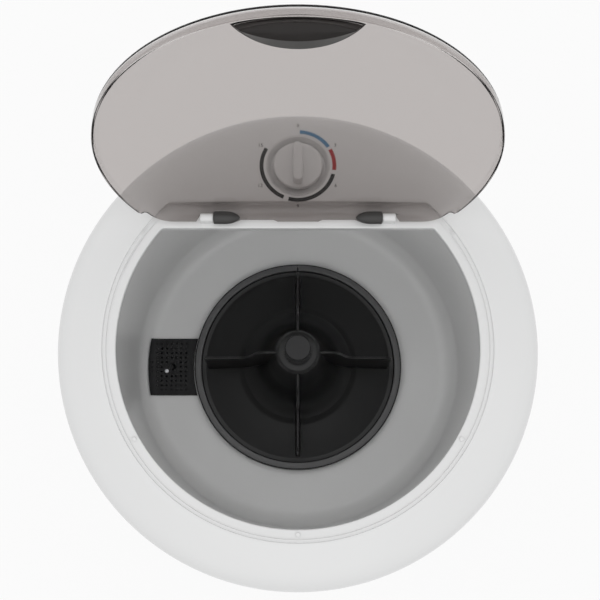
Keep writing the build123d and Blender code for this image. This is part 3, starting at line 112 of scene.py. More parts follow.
def sheet(points, wrap_rows=False, wrap_columns=True, leave=None):
    """One part of a mesh: quads between neighbouring rows and columns of a grid of points.

    A direction that wraps joins its end to its start. The cells marked in leave stay open.
    """
    points = np.asarray(points, float)
    rows, columns = points.shape[:2]
    row, column = np.meshgrid(
        np.arange(rows if wrap_rows else rows - 1),
        np.arange(columns if wrap_columns else columns - 1),
        indexing="ij",
    )
    below, beside = (row + 1) % rows, (column + 1) % columns
    corners = ((row, column), (row, beside), (below, beside), (below, column))
    quads = np.stack([first * columns + second for first, second in corners], -1)
    return points.reshape(-1, 3), quads.reshape(-1, 4) if leave is None else quads[~leave]


def put(name, data):
    """A new object in the scene for a mesh, curve, lamp or camera."""
    holder = bpy.data.objects.new(name, data)
    bpy.context.scene.collection.objects.link(holder)
    return holder


def show(name, mesh, body, finish):
    """Put a mesh in the scene as a piece that rides on a body, with its material."""
    piece = put(name, mesh)
    mesh.materials.append(look(finish))
    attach(piece, body)
    return piece


def build(name, parts, body, finish, crease=32.0, place=None):
    """Join mesh parts given in millimetres into one piece, smooth but for edges over the crease."""
    points = np.concatenate([part[0] for part in parts])
    starts = np.cumsum([0] + [len(part[0]) for part in parts])
    faces = np.concatenate([part[1] + start for part, start in zip(parts, starts)])
    if place:
        points = place(points)
    mesh = bpy.data.meshes.new(name)
    mesh.from_pydata((points * MM).tolist(), [], faces.tolist())
    work = bmesh.new()
    work.from_mesh(mesh)
    bmesh.ops.remove_doubles(work, verts=work.verts, dist=2e-6)
    bmesh.ops.dissolve_degenerate(work, edges=work.edges, dist=1e-7)
    bmesh.ops.recalc_face_normals(work, faces=work.faces)
    work.to_mesh(mesh)
    work.free()
    mesh.shade_smooth()
    mesh.set_sharp_from_angle(angle=math.radians(crease))
    return show(name, mesh, body, finish)


def rounded(corners, closed=False, steps=5):
    """A profile of (radius, height, rounding) corners, each replaced by an arc tangent to both runs.

    A corner of half angle a and rounding q starts its arc q / tan(a) before the corner.
    """
    corners = np.asarray(corners, float)
    last_index = len(corners) - 1
    out = []
    for index, (here, size) in enumerate(zip(corners[:, :2], corners[:, 2])):
        runs = corners[[index - 1, (index + 1) % len(corners)], :2] - here
        lengths = np.hypot(*runs.T)
        before, after = runs / lengths[:, None]
        half = math.acos(np.clip(before @ after, -1, 1)) / 2
        if size <= 0 or half > math.radians(88) or (not closed and index in (0, last_index)):
            out.append(here[None])
            continue
        reach = min(size / math.tan(half), *(0.48 * lengths))
        radius = reach * math.tan(half)
        middle = before + after
        centre = here + middle / np.hypot(*middle) * radius / math.sin(half)
        first, last = here + before * reach - centre, here + after * reach - centre
        turn = math.atan2(first[0] * last[1] - first[1] * last[0], first @ last)
        angle = math.atan2(first[1], first[0]) + np.linspace(0, turn, steps + 1)
        out.append(centre + radius * rays(angle))
    return np.concatenate(out)


def turned(profile, segments=192, centre=(0, 0, 0)):
    """Rows of a surface turned about an upright axis: x = r cos t, y = r sin t, z = height."""
    angle = np.linspace(0, 2 * np.pi, segments, endpoint=False)
    radius, height = profile[:, 0, None], profile[:, 1, None]
    return join(radius * np.cos(angle), radius * np.sin(angle), height) + centre


def turned_solid(corners, segments=192, centre=(0, 0, 0)):
    """A closed turned solid from a closed profile of rounded corners."""
    return sheet(turned(rounded(corners, closed=True), segments, centre), wrap_rows=True)


def capped(sections):
    """Sections of a tube with one more at each end, drawn in to its middle to shut the tube."""
    first, last = (section.mean(0) + 0 * section for section in (sections[0], sections[-1]))
    return [first, *sections, last]


def bezier(points, count):
    """Points of a Bezier curve, a sum of Bernstein terms times its control points."""
    share = np.linspace(0, 1, count)[:, None]
    degree = len(points) - 1
    total = 0
    for index, point in enumerate(np.asarray(points, float)):
        term = math.comb(degree, index) * share**index * (1 - share) ** (degree - index)
        total = total + term * point
    return total


def arc_through(first, middle, last, count):
    """Points on the circle through three plan points, from the first to the last."""
    first, middle, last = (np.asarray(point, float) for point in (first, middle, last))
    lines = 2 * np.array([middle - first, last - first])
    centre = np.linalg.solve(lines, [middle @ middle - first @ first, last @ last - first @ first])
    x, y = (np.array([first, middle, last]) - centre).T
    start, via, end = np.arctan2(y, x)
    via, end = (via - start) % (2 * math.pi), (end - start) % (2 * math.pi)
    if via > end:
        end -= 2 * math.pi
    return centre + math.hypot(x[0], y[0]) * rays(start + np.linspace(0, end, count))


def lens(outer, inner, half_width, tip, count=48):
    """Two arcs that meet at side tips: the rim's side first, then the side of the lid's middle."""
    left, right = (-half_width, -tip), (half_width, -tip)
    front = arc_through(left, (0, -outer), right, count)
    back = arc_through(right, (0, -inner), left, count)
    return np.concatenate([front[:-1], back[:-1]])


def d_outline(radius, chord, corner, across, arc_count, corner_count):
    """A circle cut straight at the back, anticlockwise from its right rear corner.

    The corner's centre is at y = chord - q and x = sqrt((R - q)^2 - (chord - q)^2).
    """
    side = math.sqrt((radius - corner) ** 2 - (chord - corner) ** 2)
    lean = math.atan2(chord - corner, side)
    right = (side, chord - corner) + corner * rays(np.linspace(lean, math.pi / 2, corner_count + 1))
    back = join(side * across, chord)
    left = right[::-1] * (-1, 1)
    front = radius * rays(np.linspace(math.pi - lean, 2 * math.pi + lean, arc_count + 2)[1:-1])
    return np.concatenate([right, back, left, front])


def block_loop(rows, first_row, last_row, first_column, last_column):
    """The closed loop of grid points round a block of cells."""
    near = rows[first_row, first_column : last_column + 1]
    right = rows[first_row + 1 : last_row + 1, last_column]
    far = rows[last_row, first_column:last_column][::-1]
    left = rows[first_row + 1 : last_row, first_column][::-1]
    return np.concatenate([near, right, far, left])


def hole(rows, over, under, cells, first, last):
    """A hole through a shell: the cells to leave out, and the loops round it outside and inside.

    It takes as many rows of cells from over as from under, where the same rows run back again.
    """
    leave = np.zeros(rows.shape[:2], bool)
    for start in (over, under):
        leave[start : start + cells, first:last] = True
    loop = block_loop(rows, over, over + cells, first, last)
    back = block_loop(rows[under : under + cells + 1][::-1], 0, cells, first, last)
    return leave, loop, back


def toward(loop, goal, shares, height):
    """Rings that blend a loop into a goal loop in plan, with heights from a function of the plan."""
    plans = [loop[:, :2] * (1 - share) + goal * share for share in shares]
    return [raised(plan, height(plan)) for plan in plans]


def ray_hits(outline, centre, angle):
    """Where rays from a centre at given angles meet a star-shaped outline."""
    spoke = outline - centre
    bearing = np.arctan2(spoke[:, 1], spoke[:, 0])
    order = np.argsort(bearing)
    reach = np.interp(angle, bearing[order], np.hypot(*spoke[order].T), period=2 * np.pi)
    return centre + reach[:, None] * rays(angle)


def dome_height(plan, drop=0.0):
    """Height of the cover's dome: crown - (D - sqrt(D^2 - (r - flat)^2)) beyond its flat middle."""
    run = np.maximum(np.hypot(plan[..., 0], plan[..., 1]) - CROWN_FLAT, 0)
    return CROWN - drop - (DOME - np.sqrt(DOME**2 - run**2))


def dial_points(points):
    """Place points of the dial's own frame, x across, y towards the back and z out of the panel."""
    tilt = math.asin((DIAL_Y - CROWN_FLAT) / DOME)
    cosine, sine = math.cos(tilt), math.sin(tilt)
    x, y, z = points.T
    height = dome_height(np.array([0.0, DIAL_Y]))
    return join(x, DIAL_Y + y * cosine + z * sine, height - y * sine + z * cosine)


def lid_edge(inset):
    """Radius and height above the hinge line of the lid's section, from shoulder to edge."""
    edge = LID_EDGE - inset
    shoulder, top, crown = edge - SHOULDER_RUN, LID_SHOULDER - inset, LID_CROWN - inset
    reach = 0.6 * SHOULDER_RUN
    bend = top - 2 * (crown - top) / shoulder * reach
    points = [(shoulder, top), (shoulder + reach, bend), (edge, bend - 1), (edge, 1.5 - 0.4 * inset)]
    return bezier(points, 16), shoulder, top, crown


def lid_height(plan, inset=0.0):
    """Height of the lid's skin: a shallow crown, a curved shoulder and a rounded rear edge.

    The crown is c - (c - top) (r / shoulder)^2, and the rear edge is rounded less on the inside.
    """
    curve, shoulder, top, crown = lid_edge(inset)
    soft = 1.5 if inset else 3.5
    radius = np.hypot(plan[:, 0], plan[:, 1])
    middle = crown - (crown - top) * (radius / shoulder) ** 2
    skin = np.where(radius <= shoulder, middle, np.interp(radius, curve[:, 0], curve[:, 1]))
    gap = np.clip(soft - (LID_REAR - inset - plan[:, 1]), 0, soft)
    return HINGE_Z + skin - (soft - np.sqrt(np.maximum(soft**2 - gap**2, 0)))


def swing(points, turn=-LID_OPEN):
    """Turn lid points about the hinge line, from the closed lid to where the open lid rests."""
    cosine, sine = math.cos(turn), math.sin(turn)
    y, z = points[:, 1] - HINGE_Y, points[:, 2] - HINGE_Z
    return join(points[:, 0], HINGE_Y + y * cosine - z * sine, HINGE_Z + y * sine + z * cosine)


# finishes


def new_material(name):
    """A new material with its node tree and surface shader."""
    material = bpy.data.materials.new(name)
    material.use_nodes = True
    tree = material.node_tree
    return material, tree, tree.nodes["Principled BSDF"]


def feed(tree, socket, value):
    """Set an input to a value, or link it where the value is another node's output."""
    if isinstance(value, bpy.types.NodeSocket):
        tree.links.new(value, socket)
    else:
        socket.default_value = value


def wire(tree, node, **values):
    """Feed a node's inputs by their names, with an underscore for each space."""
    for name, value in values.items():
        feed(tree, node.inputs[name.replace("_", " ")], value)
    return node


def add(tree, kind, **values):
    """A new shader node with its inputs fed, as its outputs."""
    return wire(tree, tree.nodes.new("ShaderNode" + kind), **values).outputs


def mottle(tree, scale, detail):
    """Soft noise on the object's own coordinates."""
    place = add(tree, "TexCoord")["Object"]
    return add(tree, "TexNoise", Vector=place, Scale=scale, Detail=detail)["Fac"]


def spread(tree, source, middle, share):
    """Map a 0 to 1 value onto a range that goes a share below and above its middle."""
    low, high = middle * (1 - share), middle * (1 + share)
    return add(tree, "MapRange", Value=source, To_Min=low, To_Max=high)["Result"]


def blended(tree, factor, first, second):
    """A colour that goes from the first to the second with the factor."""
    blend = tree.nodes.new("ShaderNodeMix")
    blend.data_type = "RGBA"
    return wire(tree, blend, Factor=factor, A=(*first, 1), B=(*second, 1)).outputs["Result"]


def reckon(tree, operation, first, second):
    """The outcome of a sum on two outputs or numbers."""
    node = tree.nodes.new("ShaderNodeMath")
    node.operation = operation
    feed(tree, node.inputs[0], first)
    feed(tree, node.inputs[1], second)
    return node.outputs[0]


def moulded(name, colour, roughness, shade, grain, depth, specular=0.5, coat=0.0):
    """Moulded plastic: a faint drift of colour and gloss, and a fine moulding grain in the bump."""
    material, tree, shader = new_material(name)
    dim = [channel * (1 - shade) for channel in colour]
    fine = mottle(tree, grain, 2)
    wire(
        tree, shader, Coat_Weight=coat, Coat_Roughness=0.12, Specular_IOR_Level=specular,
        Base_Color=blended(tree, mottle(tree, 9, 3), dim, colour),
        Roughness=spread(tree, mottle(tree, 34, 5), roughness, 0.1),
        Normal=add(tree, "Bump", Height=fine, Strength=depth * 4, Distance=0.0002)["Normal"],
    )
    return material


def metal(name, colour, roughness, stretch):
    """Rolled or cast metal: fine streaks in gloss and colour along one axis."""
    material, tree, shader = new_material(name)
    place = add(tree, "TexCoord")["Object"]
    drawn = add(tree, "Mapping", Vector=place, Scale=stretch)["Vector"]
    streaks = add(tree, "TexNoise", Vector=drawn, Scale=60.0)["Fac"]
    tint = blended(tree, streaks, [channel * 0.82 for channel in colour], colour)
    wire(tree, shader, Metallic=1.0, Base_Color=tint, Roughness=spread(tree, streaks, roughness, 0.3))
    return material


def smoky_clear(name, colour, thin):
    """Clear smoky plastic, tinted as light goes in and out, with faint flow marks in its gloss.

    With a thin colour the tint thins out over the heights at which the open lid's front rim stands.
    """
    material, tree, shader = new_material(name)
    gloss = spread(tree, mottle(tree, 14.0, 2.0), 0.06, 0.3)
    wire(tree, shader, Base_Color=(*colour, 1), Transmission_Weight=1.0, IOR=1.2, Roughness=gloss)
    if thin:
        height = add(tree, "SeparateXYZ", Vector=add(tree, "TexCoord")["Object"])["Z"]
        share = add(tree, "MapRange", Value=height, From_Min=0.945, From_Max=1.02)["Result"]
        wire(tree, shader, Base_Color=blended(tree, share, colour, thin))
    return material


# What makes a slot's finishes, where they aren't moulded.
MAKERS = {
    "steel": metal, "aluminium": metal, "bronze": metal, "copper": metal, "smoky_clear": smoky_clear,
}

# Each finish has its record slot and its colour, or the setting that holds it. Then come
# for moulded: roughness, drift of shade, scale of grain, depth of bump, specular level and coat;
# for metal: roughness and how the streaks are drawn out along each axis;
# for clear: the colour that its tint thins out to. A slot's first finish is its plain one.
FINISHES = {
    "cover white plastic": ("white_cover", "cover_colour", 0.3, 0.02, 500, 0.006, 0.5, 0.2),
    "cabinet white plastic": ("white_body", "cabinet_colour", 0.32, 0.02, 500, 0.01, 0.5, 0.2),
    "tub grey plastic": ("tub_plastic", "tub_colour", 0.34, 0.06, 420, 0.03),
    "pulsator black plastic": ("pulsator_plastic", "pulsator_colour", 0.3, 0.15, 500, 0.02, 0.3),
    # The pulsator ring's lighter grey is painted highlight: the pulsator's black plastic drawn
    # lighter where its rim catches the light.
    "pulsator ring plastic": ("pulsator_plastic", (0.125, 0.125, 0.127), 0.38, 0.08, 500, 0.03, 0.4),
    "hub cap plastic": ("pulsator_plastic", (0.02, 0.02, 0.021), 0.22, 0.1, 500, 0.02, 0.24),
    # The grip's one plastic in two tones: the cup darker as painted shade, the slope up to the lid
    # lighter as painted light.
    "grip dark plastic": ("grip_plastic", (0.018, 0.015, 0.014), 0.34, 0.1, 600, 0.03, 0.25),
    "grip edge plastic": ("grip_plastic", (0.085, 0.085, 0.084), 0.36, 0.08, 600, 0.03),
    "hinge cap plastic": ("grip_plastic", (0.04, 0.039, 0.038), 0.36, 0.1, 600, 0.03, 0.4),
    "dark plastic": ("dark_plastic", (0.045, 0.045, 0.048), 0.45, 0.12, 600, 0.05),
    "grille plastic": ("dark_plastic", (0.018, 0.018, 0.019), 0.45, 0.1, 800, 0.03, 0.2),
    "black rubber": ("rubber", (0.02, 0.02, 0.02), 0.7, 0.2, 900, 0.08),
    "hose rubber": ("hose_rubber", (0.06, 0.06, 0.065), 0.55, 0.15, 900, 0.06),
    "timer plastic": ("timer_plastic", (0.6, 0.6, 0.57), 0.5, 0.06, 800, 0.04),
    "dial blue print": ("white_cover", (0.1, 0.24, 0.4), 0.5, 0.05, 900, 0.02),
    "dial red print": ("white_cover", (0.42, 0.03, 0.03), 0.5, 0.05, 900, 0.02),
    "dial black print": ("white_cover", (0.02, 0.02, 0.02), 0.5, 0.05, 900, 0.02),
    "zinc plated steel": ("steel", (0.62, 0.63, 0.65), 0.32, (1, 1, 30)),
    "cast aluminium": ("aluminium", (0.6, 0.61, 0.62), 0.5, (6, 6, 6)),
    "sintered bronze": ("bronze", (0.45, 0.3, 0.14), 0.4, (8, 8, 8)),
    "enamelled copper": ("copper", (0.55, 0.22, 0.08), 0.3, (1, 1, 80)),
    "smoky clear plastic": ("smoky_clear", "lid_colour", None),
    "smoky clear rim plastic": ("smoky_clear", "lid_colour", (0.78, 0.765, 0.76)),
}


def look(finish):
    """The material of a finish, made when a piece first asks for it."""
    made = bpy.data.materials.get(finish)
    if made:
        return made
    slot, colour, *values = FINISHES[finish]
    if isinstance(colour, str):
        colour = tuple(getattr(bpy.context.scene.washer_finish, colour))
    return MAKERS.get(slot, moulded)(finish, colour, *values)


# settings


def length(name, default, description):
    """A setting that holds a length in metres."""
    return FloatProperty(name=name, description=description, default=default, unit="LENGTH")


def tint(name, default, description):
    """A setting that holds a colour."""
    return FloatVectorProperty(name=name, description=description, default=default, subtype="COLOR")


def amount(name, default, description):
    """A setting that holds a plain number."""
    return FloatProperty(name=name, description=description, default=default)


class WasherBodySettings(bpy.types.PropertyGroup):
    """Sizes of the body's smooth surfaces."""

    edge_round: length("Edge rounding", 0.0012, "Rounding of the cabinet's moulded edges")
    cover_wall: length("Cover wall", 0.0028, "Thickness of the top cover's wall")


class WasherLidSettings(bpy.types.PropertyGroup):
    """Sizes of the lid."""

    wall: length("Wall", 0.0022, "Thickness of the lid's wall")
    rim: length("Rim depth", 0.0081, "How far the lid's rim hangs below the hinge line")


class WasherFinishSettings(bpy.types.PropertyGroup):
    """Colours of the main finishes."""

    cover_colour: tint("Cover", (0.75, 0.753, 0.753), "Colour of the top cover")
    cabinet_colour: tint("Cabinet", (0.75, 0.753, 0.753), "Colour of the cabinet")
    tub_colour: tint("Tub", (0.9, 0.902, 0.9), "Colour of the wash tub")
    pulsator_colour: tint("Pulsator", (0.016, 0.016, 0.0165), "Colour of the pulsator")
    lid_colour: tint("Lid", (0.525, 0.495, 0.484), "Tint of the smoky lid")


class WasherStageSettings(bpy.types.PropertyGroup):
    """The camera and the lights."""

    camera_height: length("Camera height", 1.54, "Height of the camera above the opening")
    camera_front: length("Camera forward", 0.2039, "How far the camera stands before the axis")
    target_back: length("Target back", 0.0464, "How far behind the axis the camera looks")
    lens: amount("Lens", 92.2, "Focal length of the camera in millimetres")
    light: amount("Light", 9.5, "Strength of the main lamp in watts")
    sky: amount("Sky", 0.85, "Strength of the even light from all round")
    floor_glow: amount("Floor glow", 0.87, "Share of plain white in the floor that the camera sees")


# pieces


class WASHER_OT_cabinet(bpy.types.Operator):
    """Cabinet shell: a barrel wall turned from a shallow arc, and two round pads at the back"""

    bl_idname = "washer.cabinet"
    bl_label = "Cabinet shell"

    def execute(self, context):
        soft = context.scene.washer_body.edge_round / MM
        low, high, wall = 16, 692, 2.6
        flange, neck, pad_height = 216, 242.7, 110

        def radius(height):
            share = (height - low) / (high - low)
            return 228 + 18 * share + 16 * share * (1 - share)

        rise = np.linspace(low + 8, high - 2, 30)
        outside = join(radius(rise), rise)
        inside = outside[::-1] - (wall, 0)
        foot = [
            (radius(low + 8) - wall, low + 8, 0), (radius(low + wall) - wall, low + wall, 1.2),
            (flange, low + wall, soft), (flange, low, soft), (radius(low), low, 3.2),
            (radius(low + 8), low + 8, 0),
        ]
        top = [
            (radius(high - 2), high - 2, 0), (radius(high), high, soft),
            (neck, high, soft * 0.5), (neck, high + 20, soft * 0.5),
            (neck - wall, high + 20, soft * 0.5), (neck - wall, high - 5, soft),
            (radius(high - 2) - wall, high - 7, 0),
        ]
        profile = np.concatenate([rounded(foot)[:-1], outside, rounded(top)[1:-1], inside[1:-1]])
        parts = [sheet(turned(profile, 256), wrap_rows=True)]
        shell = build("cabinet_wall", parts, "machine", "cabinet white plastic")
        pads = []
        for angle, hole in ((112, 16.5), (68, 8)):
            pad = [(hole, -7, 0.6), (hole + 10, -7, 0.6), (hole + 10, 0, 1), (hole, 0, 0.6)]
            points, faces = turned_solid(pad, 72)
            down, across, out = points.T
            out = out + radius(pad_height) + 1.5
            cosine, sine = rays(math.radians(angle))
            x, y = out * cosine - across * sine, out * sine + across * cosine
            pads.append((join(x, y, pad_height - down), faces))
        build("cabinet_pads", pads, "machine", "cabinet white plastic")
        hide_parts("cabinet_shell")
        return {"FINISHED"}


class WASHER_OT_cover(bpy.types.Operator):
    """Top cover: rings from a D-shaped opening to the round apron, with the dial's dish let in"""

    bl_idname = "washer.cover"
    bl_label = "Top cover"

    def execute(self, context):
        wall = context.scene.washer_body.cover_wall / MM
        seat, chord, corner = 197.8, 147, 6
        skirt, foot, start = RIM - 25, RIM - 46, 228
        across = np.linspace(1, -1, 67)[1:-1]

        def outline(radius, back, bend=corner):
            return d_outline(radius, back, bend, across, 220, 8)

        def ring(radius, back, bend, height):
            return raised(outline(radius, back, bend), height)

        def mouth(grow, height):
            return ring(184.2 + grow, 121 + grow, corner + max(grow, 0), height)

        roll = 1.7
        lip = [mouth(0.9, RIM - 12), mouth(0.3, RIM - 11.7), mouth(0, RIM - 11)]
        bend = np.linspace(0, math.pi / 2, 6)
        lip += [mouth(roll * (1 - math.cos(a)), RIM - roll * (1 - math.sin(a))) for a in bend]
        front_band = outline(194, 145)[:, 1] < 117
        step = [mouth(8.6, RIM)]
        for radius, back, bend, lift in (
            (193.6, 143.6, 6.4, 0), (194, 144, 6.4, 0.4), (194.1, 144.2, 6.4, 1.7),
            (194.5, 144.6, 6.2, 2), (seat - 0.5, chord - 0.5, 6.1, 2),
        ):
            step.append(ring(radius, back, bend, RIM + lift * front_band))
        top = dome_height(outline(seat, chord))
        step += [
            ring(seat, chord, corner, RIM + 2 * front_band + 0.6),
            ring(seat, chord, corner, top - 0.9),
            ring(seat + 0.25, chord + 0.25, corner, top - 0.25),
        ]
        inner = outline(seat + 0.9, chord + 0.9)
        fan = rays(np.arctan2(inner[:, 1], inner[:, 0]))
        shares = np.linspace(0, 1, 13)

        def dome_rows(drop):
            return toward(inner, start * fan, shares, lambda plan: dome_height(plan, drop))

        start_height = dome_height(np.array([start, 0.0]))
        slope = (start - CROWN_FLAT) / math.sqrt(DOME**2 - (start - CROWN_FLAT) ** 2)
        bend = start_height - slope * (BODY - start)
        apron = [
            *bezier([(start, start_height), (BODY, bend), (BODY, skirt)], 15)[1:],
            (BODY, foot + 0.9), (BODY - 0.3, foot + 0.25), (BODY - 0.9, foot),
            (BODY - wall + 0.9, foot), (BODY - wall + 0.3, foot + 0.25), (BODY - wall, foot + 0.9),
            (BODY - wall, skirt - wall), (BODY - 8, start_height - 6 - wall),
        ]
        apron = [raised(radius * fan, height) for radius, height in apron]
        back_skirt = [
            ring(seat + wall, chord + wall, 8, RIM - wall + 0.5),
            ring(seat + wall - 0.5, chord + wall - 0.5, 8, RIM - wall),
            mouth(wall + 1, RIM - wall), mouth(wall, RIM - wall - 1),
            mouth(wall, RIM - 11.4), mouth(wall - 0.6, RIM - 12),
        ]
        rows = np.stack(lip + step + dome_rows(0) + apron + dome_rows(wall)[::-1] + back_skirt)
        over = len(lip) + len(step)
        under = over + len(shares) + len(apron)
        columns = np.nonzero((np.abs(inner[:, 0]) < 47) & (inner[:, 1] > 0))[0]
        leave, loop, under_loop = hole(rows, over, under, len(shares) - 1, columns[0], columns[-1])
        centre = np.array([0.0, DIAL_Y])
        spoke = rays(np.arctan2(loop[:, 1] - DIAL_Y, loop[:, 0]))

        def level(radius, drop):
            plan = centre + radius * spoke
            return raised(plan, dome_height(plan, drop))

        dish = (
            (32.5, 1.3), (28.9, 6), (28.2, 6.8), (27.3, 7), (16, 7), (4.9, 7), (4.5, 7.4),
            (4.5, 7 + wall), (28, 7 + wall), (31.4, 6.4 + wall),
        )
        patch = toward(loop, centre + 34 * spoke, np.linspace(0, 1, 9), dome_height)
        patch += [level(33.4, 0.15), level(32.9, 0.6)]
        patch += [dial_points(raised(radius * spoke, -depth)) for radius, depth in dish]
        patch += [level(35.6, wall)]
        goal = centre + 37 * spoke
        patch += toward(under_loop, goal, np.linspace(1, 0, 9), lambda plan: dome_height(plan, wall))
        parts = [sheet(rows, wrap_rows=True, leave=leave), sheet(patch)]
        cover = build("cover_shell", parts, "machine", "cover white plastic")
        turn = np.linspace(-math.pi / 2, 3 * math.pi / 2, 41)[:-1]
        cosine, sine = np.cos(turn), np.sin(turn)
        lug_sections = (
            (0, 1.4), (0.25, 0.6), (0.6, 0.2), (1.4, 0), (12.2, 0), (13, 0.2), (13.35, 0.6),
            (13.6, 1.4),
        )
        lugs = []
        for side in (-1, 1):
            sections = []
            for along, inset in lug_sections:
                radius = 4.4 - inset
                straight = radius * np.sign(cosine) * np.minimum(1, 6 * np.abs(cosine))
                y = HINGE_Y + np.where(sine < 0, straight, radius * cosine)
                root = np.maximum(RIM - 0.5, HINGE_Z + 12 * sine)
                z = np.where(sine < 0, root, HINGE_Z + radius * sine)
                sections.append(join(side * (86 + along), y, z))
            lugs.append(sheet(capped(sections)))
        for angle in (210, 270, 330):
            x, y = 189.1 * rays(math.radians(angle))
            rest = [(0, -1, 0), (2.4, -1, 0), (2.4, 2, 1), (0, 2, 0)]
            lugs.append(turned_solid(rest, 24, (x, y, RIM)))
        build("hinge_lugs", lugs, "machine", "cover white plastic")
        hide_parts("top_cover")
        return {"FINISHED"}


class WASHER_OT_dial(bpy.types.Operator):
    """Dial print: bands and numerals that lie on the panel round the knob"""

    bl_idname = "washer.dial"
    bl_label = "Dial print"

    def execute(self, context):
        middle = (0, DIAL_Y)
        bands = (("blue", 3, 57), ("red", 62, 98), ("black", 105, 195), ("black", 203, 300))
        reach = np.array([35.4, 36.2, 38.4, 39.4])[:, None, None]
        lift = np.array([0.02, 0.08, 0.08, 0.02])[:, None]
        for index, (tone, start, end) in enumerate(bands):
            plan = middle + reach * rays(np.radians(90 - np.linspace(start, end, 60)))
            top = raised(plan, dome_height(plan) + lift)
            rows = np.concatenate([top, top[::-1] - (0, 0, 0.15)])
            band = sheet(rows, wrap_rows=True, wrap_columns=False)
            build(f"dial_band_{index}", [band], "machine", f"dial {tone} print")
        work = bmesh.new()
        for bearing in range(0, 301, 60):
            curve = bpy.data.curves.new("numeral", "FONT")
            curve.body = str(bearing // 20)
            curve.size = 5.4 * MM
            curve.extrude = 0.04 * MM
            curve.align_x = "CENTER"
            curve.align_y = "CENTER"
            holder = put("numeral", curve)
            mesh = bpy.data.meshes.new_from_object(holder)
            bpy.data.objects.remove(holder)
            flat = np.empty(len(mesh.vertices) * 3)
            mesh.vertices.foreach_get("co", flat)
            flat = flat.reshape(-1, 3) / MM
            plan = flat[:, :2] + 44.5 * rays(math.radians(90 - bearing)) + middle
            placed = raised(plan, dome_height(plan) + 0.05 + flat[:, 2])
            mesh.vertices.foreach_set("co", (placed * MM).ravel())
            work.from_mesh(mesh)
        bmesh.ops.remove_doubles(work, verts=work.verts, dist=1e-7)
        numerals = bpy.data.meshes.new("dial_numerals")
        work.to_mesh(numerals)
        work.free()
        show("dial_numerals", numerals, "machine", "dial black print")
        return {"FINISHED"}


class WASHER_OT_knob(bpy.types.Operator):
    """Timer knob: a shallow disc with a full-width grip bar whose sides draw in towards its top"""

    bl_idname = "washer.knob"
    bl_label = "Timer knob"

    def execute(self, context):
        low = -4.4
        profile = [(0, 0, 0), (25.1, 0, 0.5), (25.1, 5, 1.3), (23.4, 5.4, 0.6), (0, 5.4, 0)]
        disc = turned_solid(profile, 144, (0, 0, low))
        turn = np.linspace(0, 2 * np.pi, 96, endpoint=False)

        def stadium(half_width, half_length):
            straight = (half_length - half_width) * np.tanh(9 * np.sin(turn))
            return join(half_width * np.cos(turn), half_width * np.sin(turn) + straight)

        levels = (
            (0, 15, 4.9), (5.9, 22.3, 4.9), (5.45, 21.9, 5.5), (5.3, 21.8, 6.2),
            (5, 21.4, 15.2), (4.85, 21.2, 16.2), (4.4, 20.7, 16.8), (3.6, 19.9, 17.05),
            (1.6, 17, 17.1), (0, 15, 17.1),
        )
        bar = sheet([raised(stadium(width, half), low + height) for width, half, height in levels])
        knob = build("knob_shell", [disc, bar], "knob", "cover white plastic", place=dial_points)
        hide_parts("timer_knob")
        return {"FINISHED"}


class WASHER_OT_tub(bpy.types.Operator):
    """Wash tub: a tapered wall with a rounded floor, its rim flange and the timer's alcove"""

    bl_idname = "washer.tub"
    bl_label = "Wash tub"

    def execute(self, context):
        segments = 256
        angle = (np.arange(segments) + 0.5) * 2 * np.pi / segments
        rim, shelf, wall = 714, 665, 3
        under = TUB_FLOOR - wall
        foot_radius = 195.0
        slope = 8 / (rim - TUB_FLOOR)
        radius = foot_radius + slope * (shelf - TUB_FLOOR)

        def ring(radius, height, chord=None):
            reach = np.full(segments, float(radius))
            if chord is not None:
                limit = (chord - TUB_Y) / np.maximum(np.sin(angle), 1e-3)
                reach = np.where(np.sin(angle) > 0, np.minimum(reach, limit), reach)
            return raised(reach[:, None] * rays(angle) + (0, TUB_Y), height)

        def corner(size, base, low):
            turn = np.linspace(0, math.pi / 2, 12)
            start = base - size
            return [(start + size * math.sin(a), low + size * (1 - math.cos(a))) for a in turn]

        floor_rings = (20.4, 60, 110, 132, 150, FLOOR_FLAT)
        climb = (60, 130, 200, 240)
        inside = [(reach, TUB_FLOOR) for reach in floor_rings]
        inside += corner(TUB_CORNER, foot_radius + 0.4, TUB_FLOOR)[1:]
        inside += [(foot_radius + slope * rise, TUB_FLOOR + rise) for rise in climb]
        flange = [
            (radius, shelf - 0.8), (radius, shelf, 149.4), (radius, shelf + 0.8, 146.8),
            (203, rim - 0.9, 146.8), (203.3, rim - 0.25, 147.1), (203.9, rim, 147.6),
            (216, rim, 152.4), (216.5, rim - 0.6, 152.8), (216.5, rim - 2.4, 152.8),
            (216, rim - 3, 152.4), (206.2, rim - 3, 149.9), (206, rim - 3.8, 149.8),
            (radius + wall, shelf + wall + 0.8, 149.8), (radius + wall, shelf + wall),
        ]
        outside = [(foot_radius + wall + slope * rise, TUB_FLOOR + rise) for rise in climb[::-1]]
        outside += corner(TUB_CORNER + wall, foot_radius + wall + 0.4, under)[:0:-1]
        outside += [(reach, under) for reach in floor_rings[::-1]]
        rows = np.stack([ring(*row) for row in inside + flange + outside])
        near_drain = np.abs(angle + np.pi / segments - math.pi) < math.radians(9.2)
        columns = np.nonzero(near_drain)[0]
        leave, top_loop, low_loop = hole(rows, 3, len(rows) - 6, 2, columns[0], columns[-1] + 1)
        parts = [sheet(rows, wrap_rows=True, leave=leave), sheet([top_loop, low_loop])]
        tub = build("tub_shell", parts, "machine", "tub grey plastic", crease=50)
        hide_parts("wash_tub")
        return {"FINISHED"}


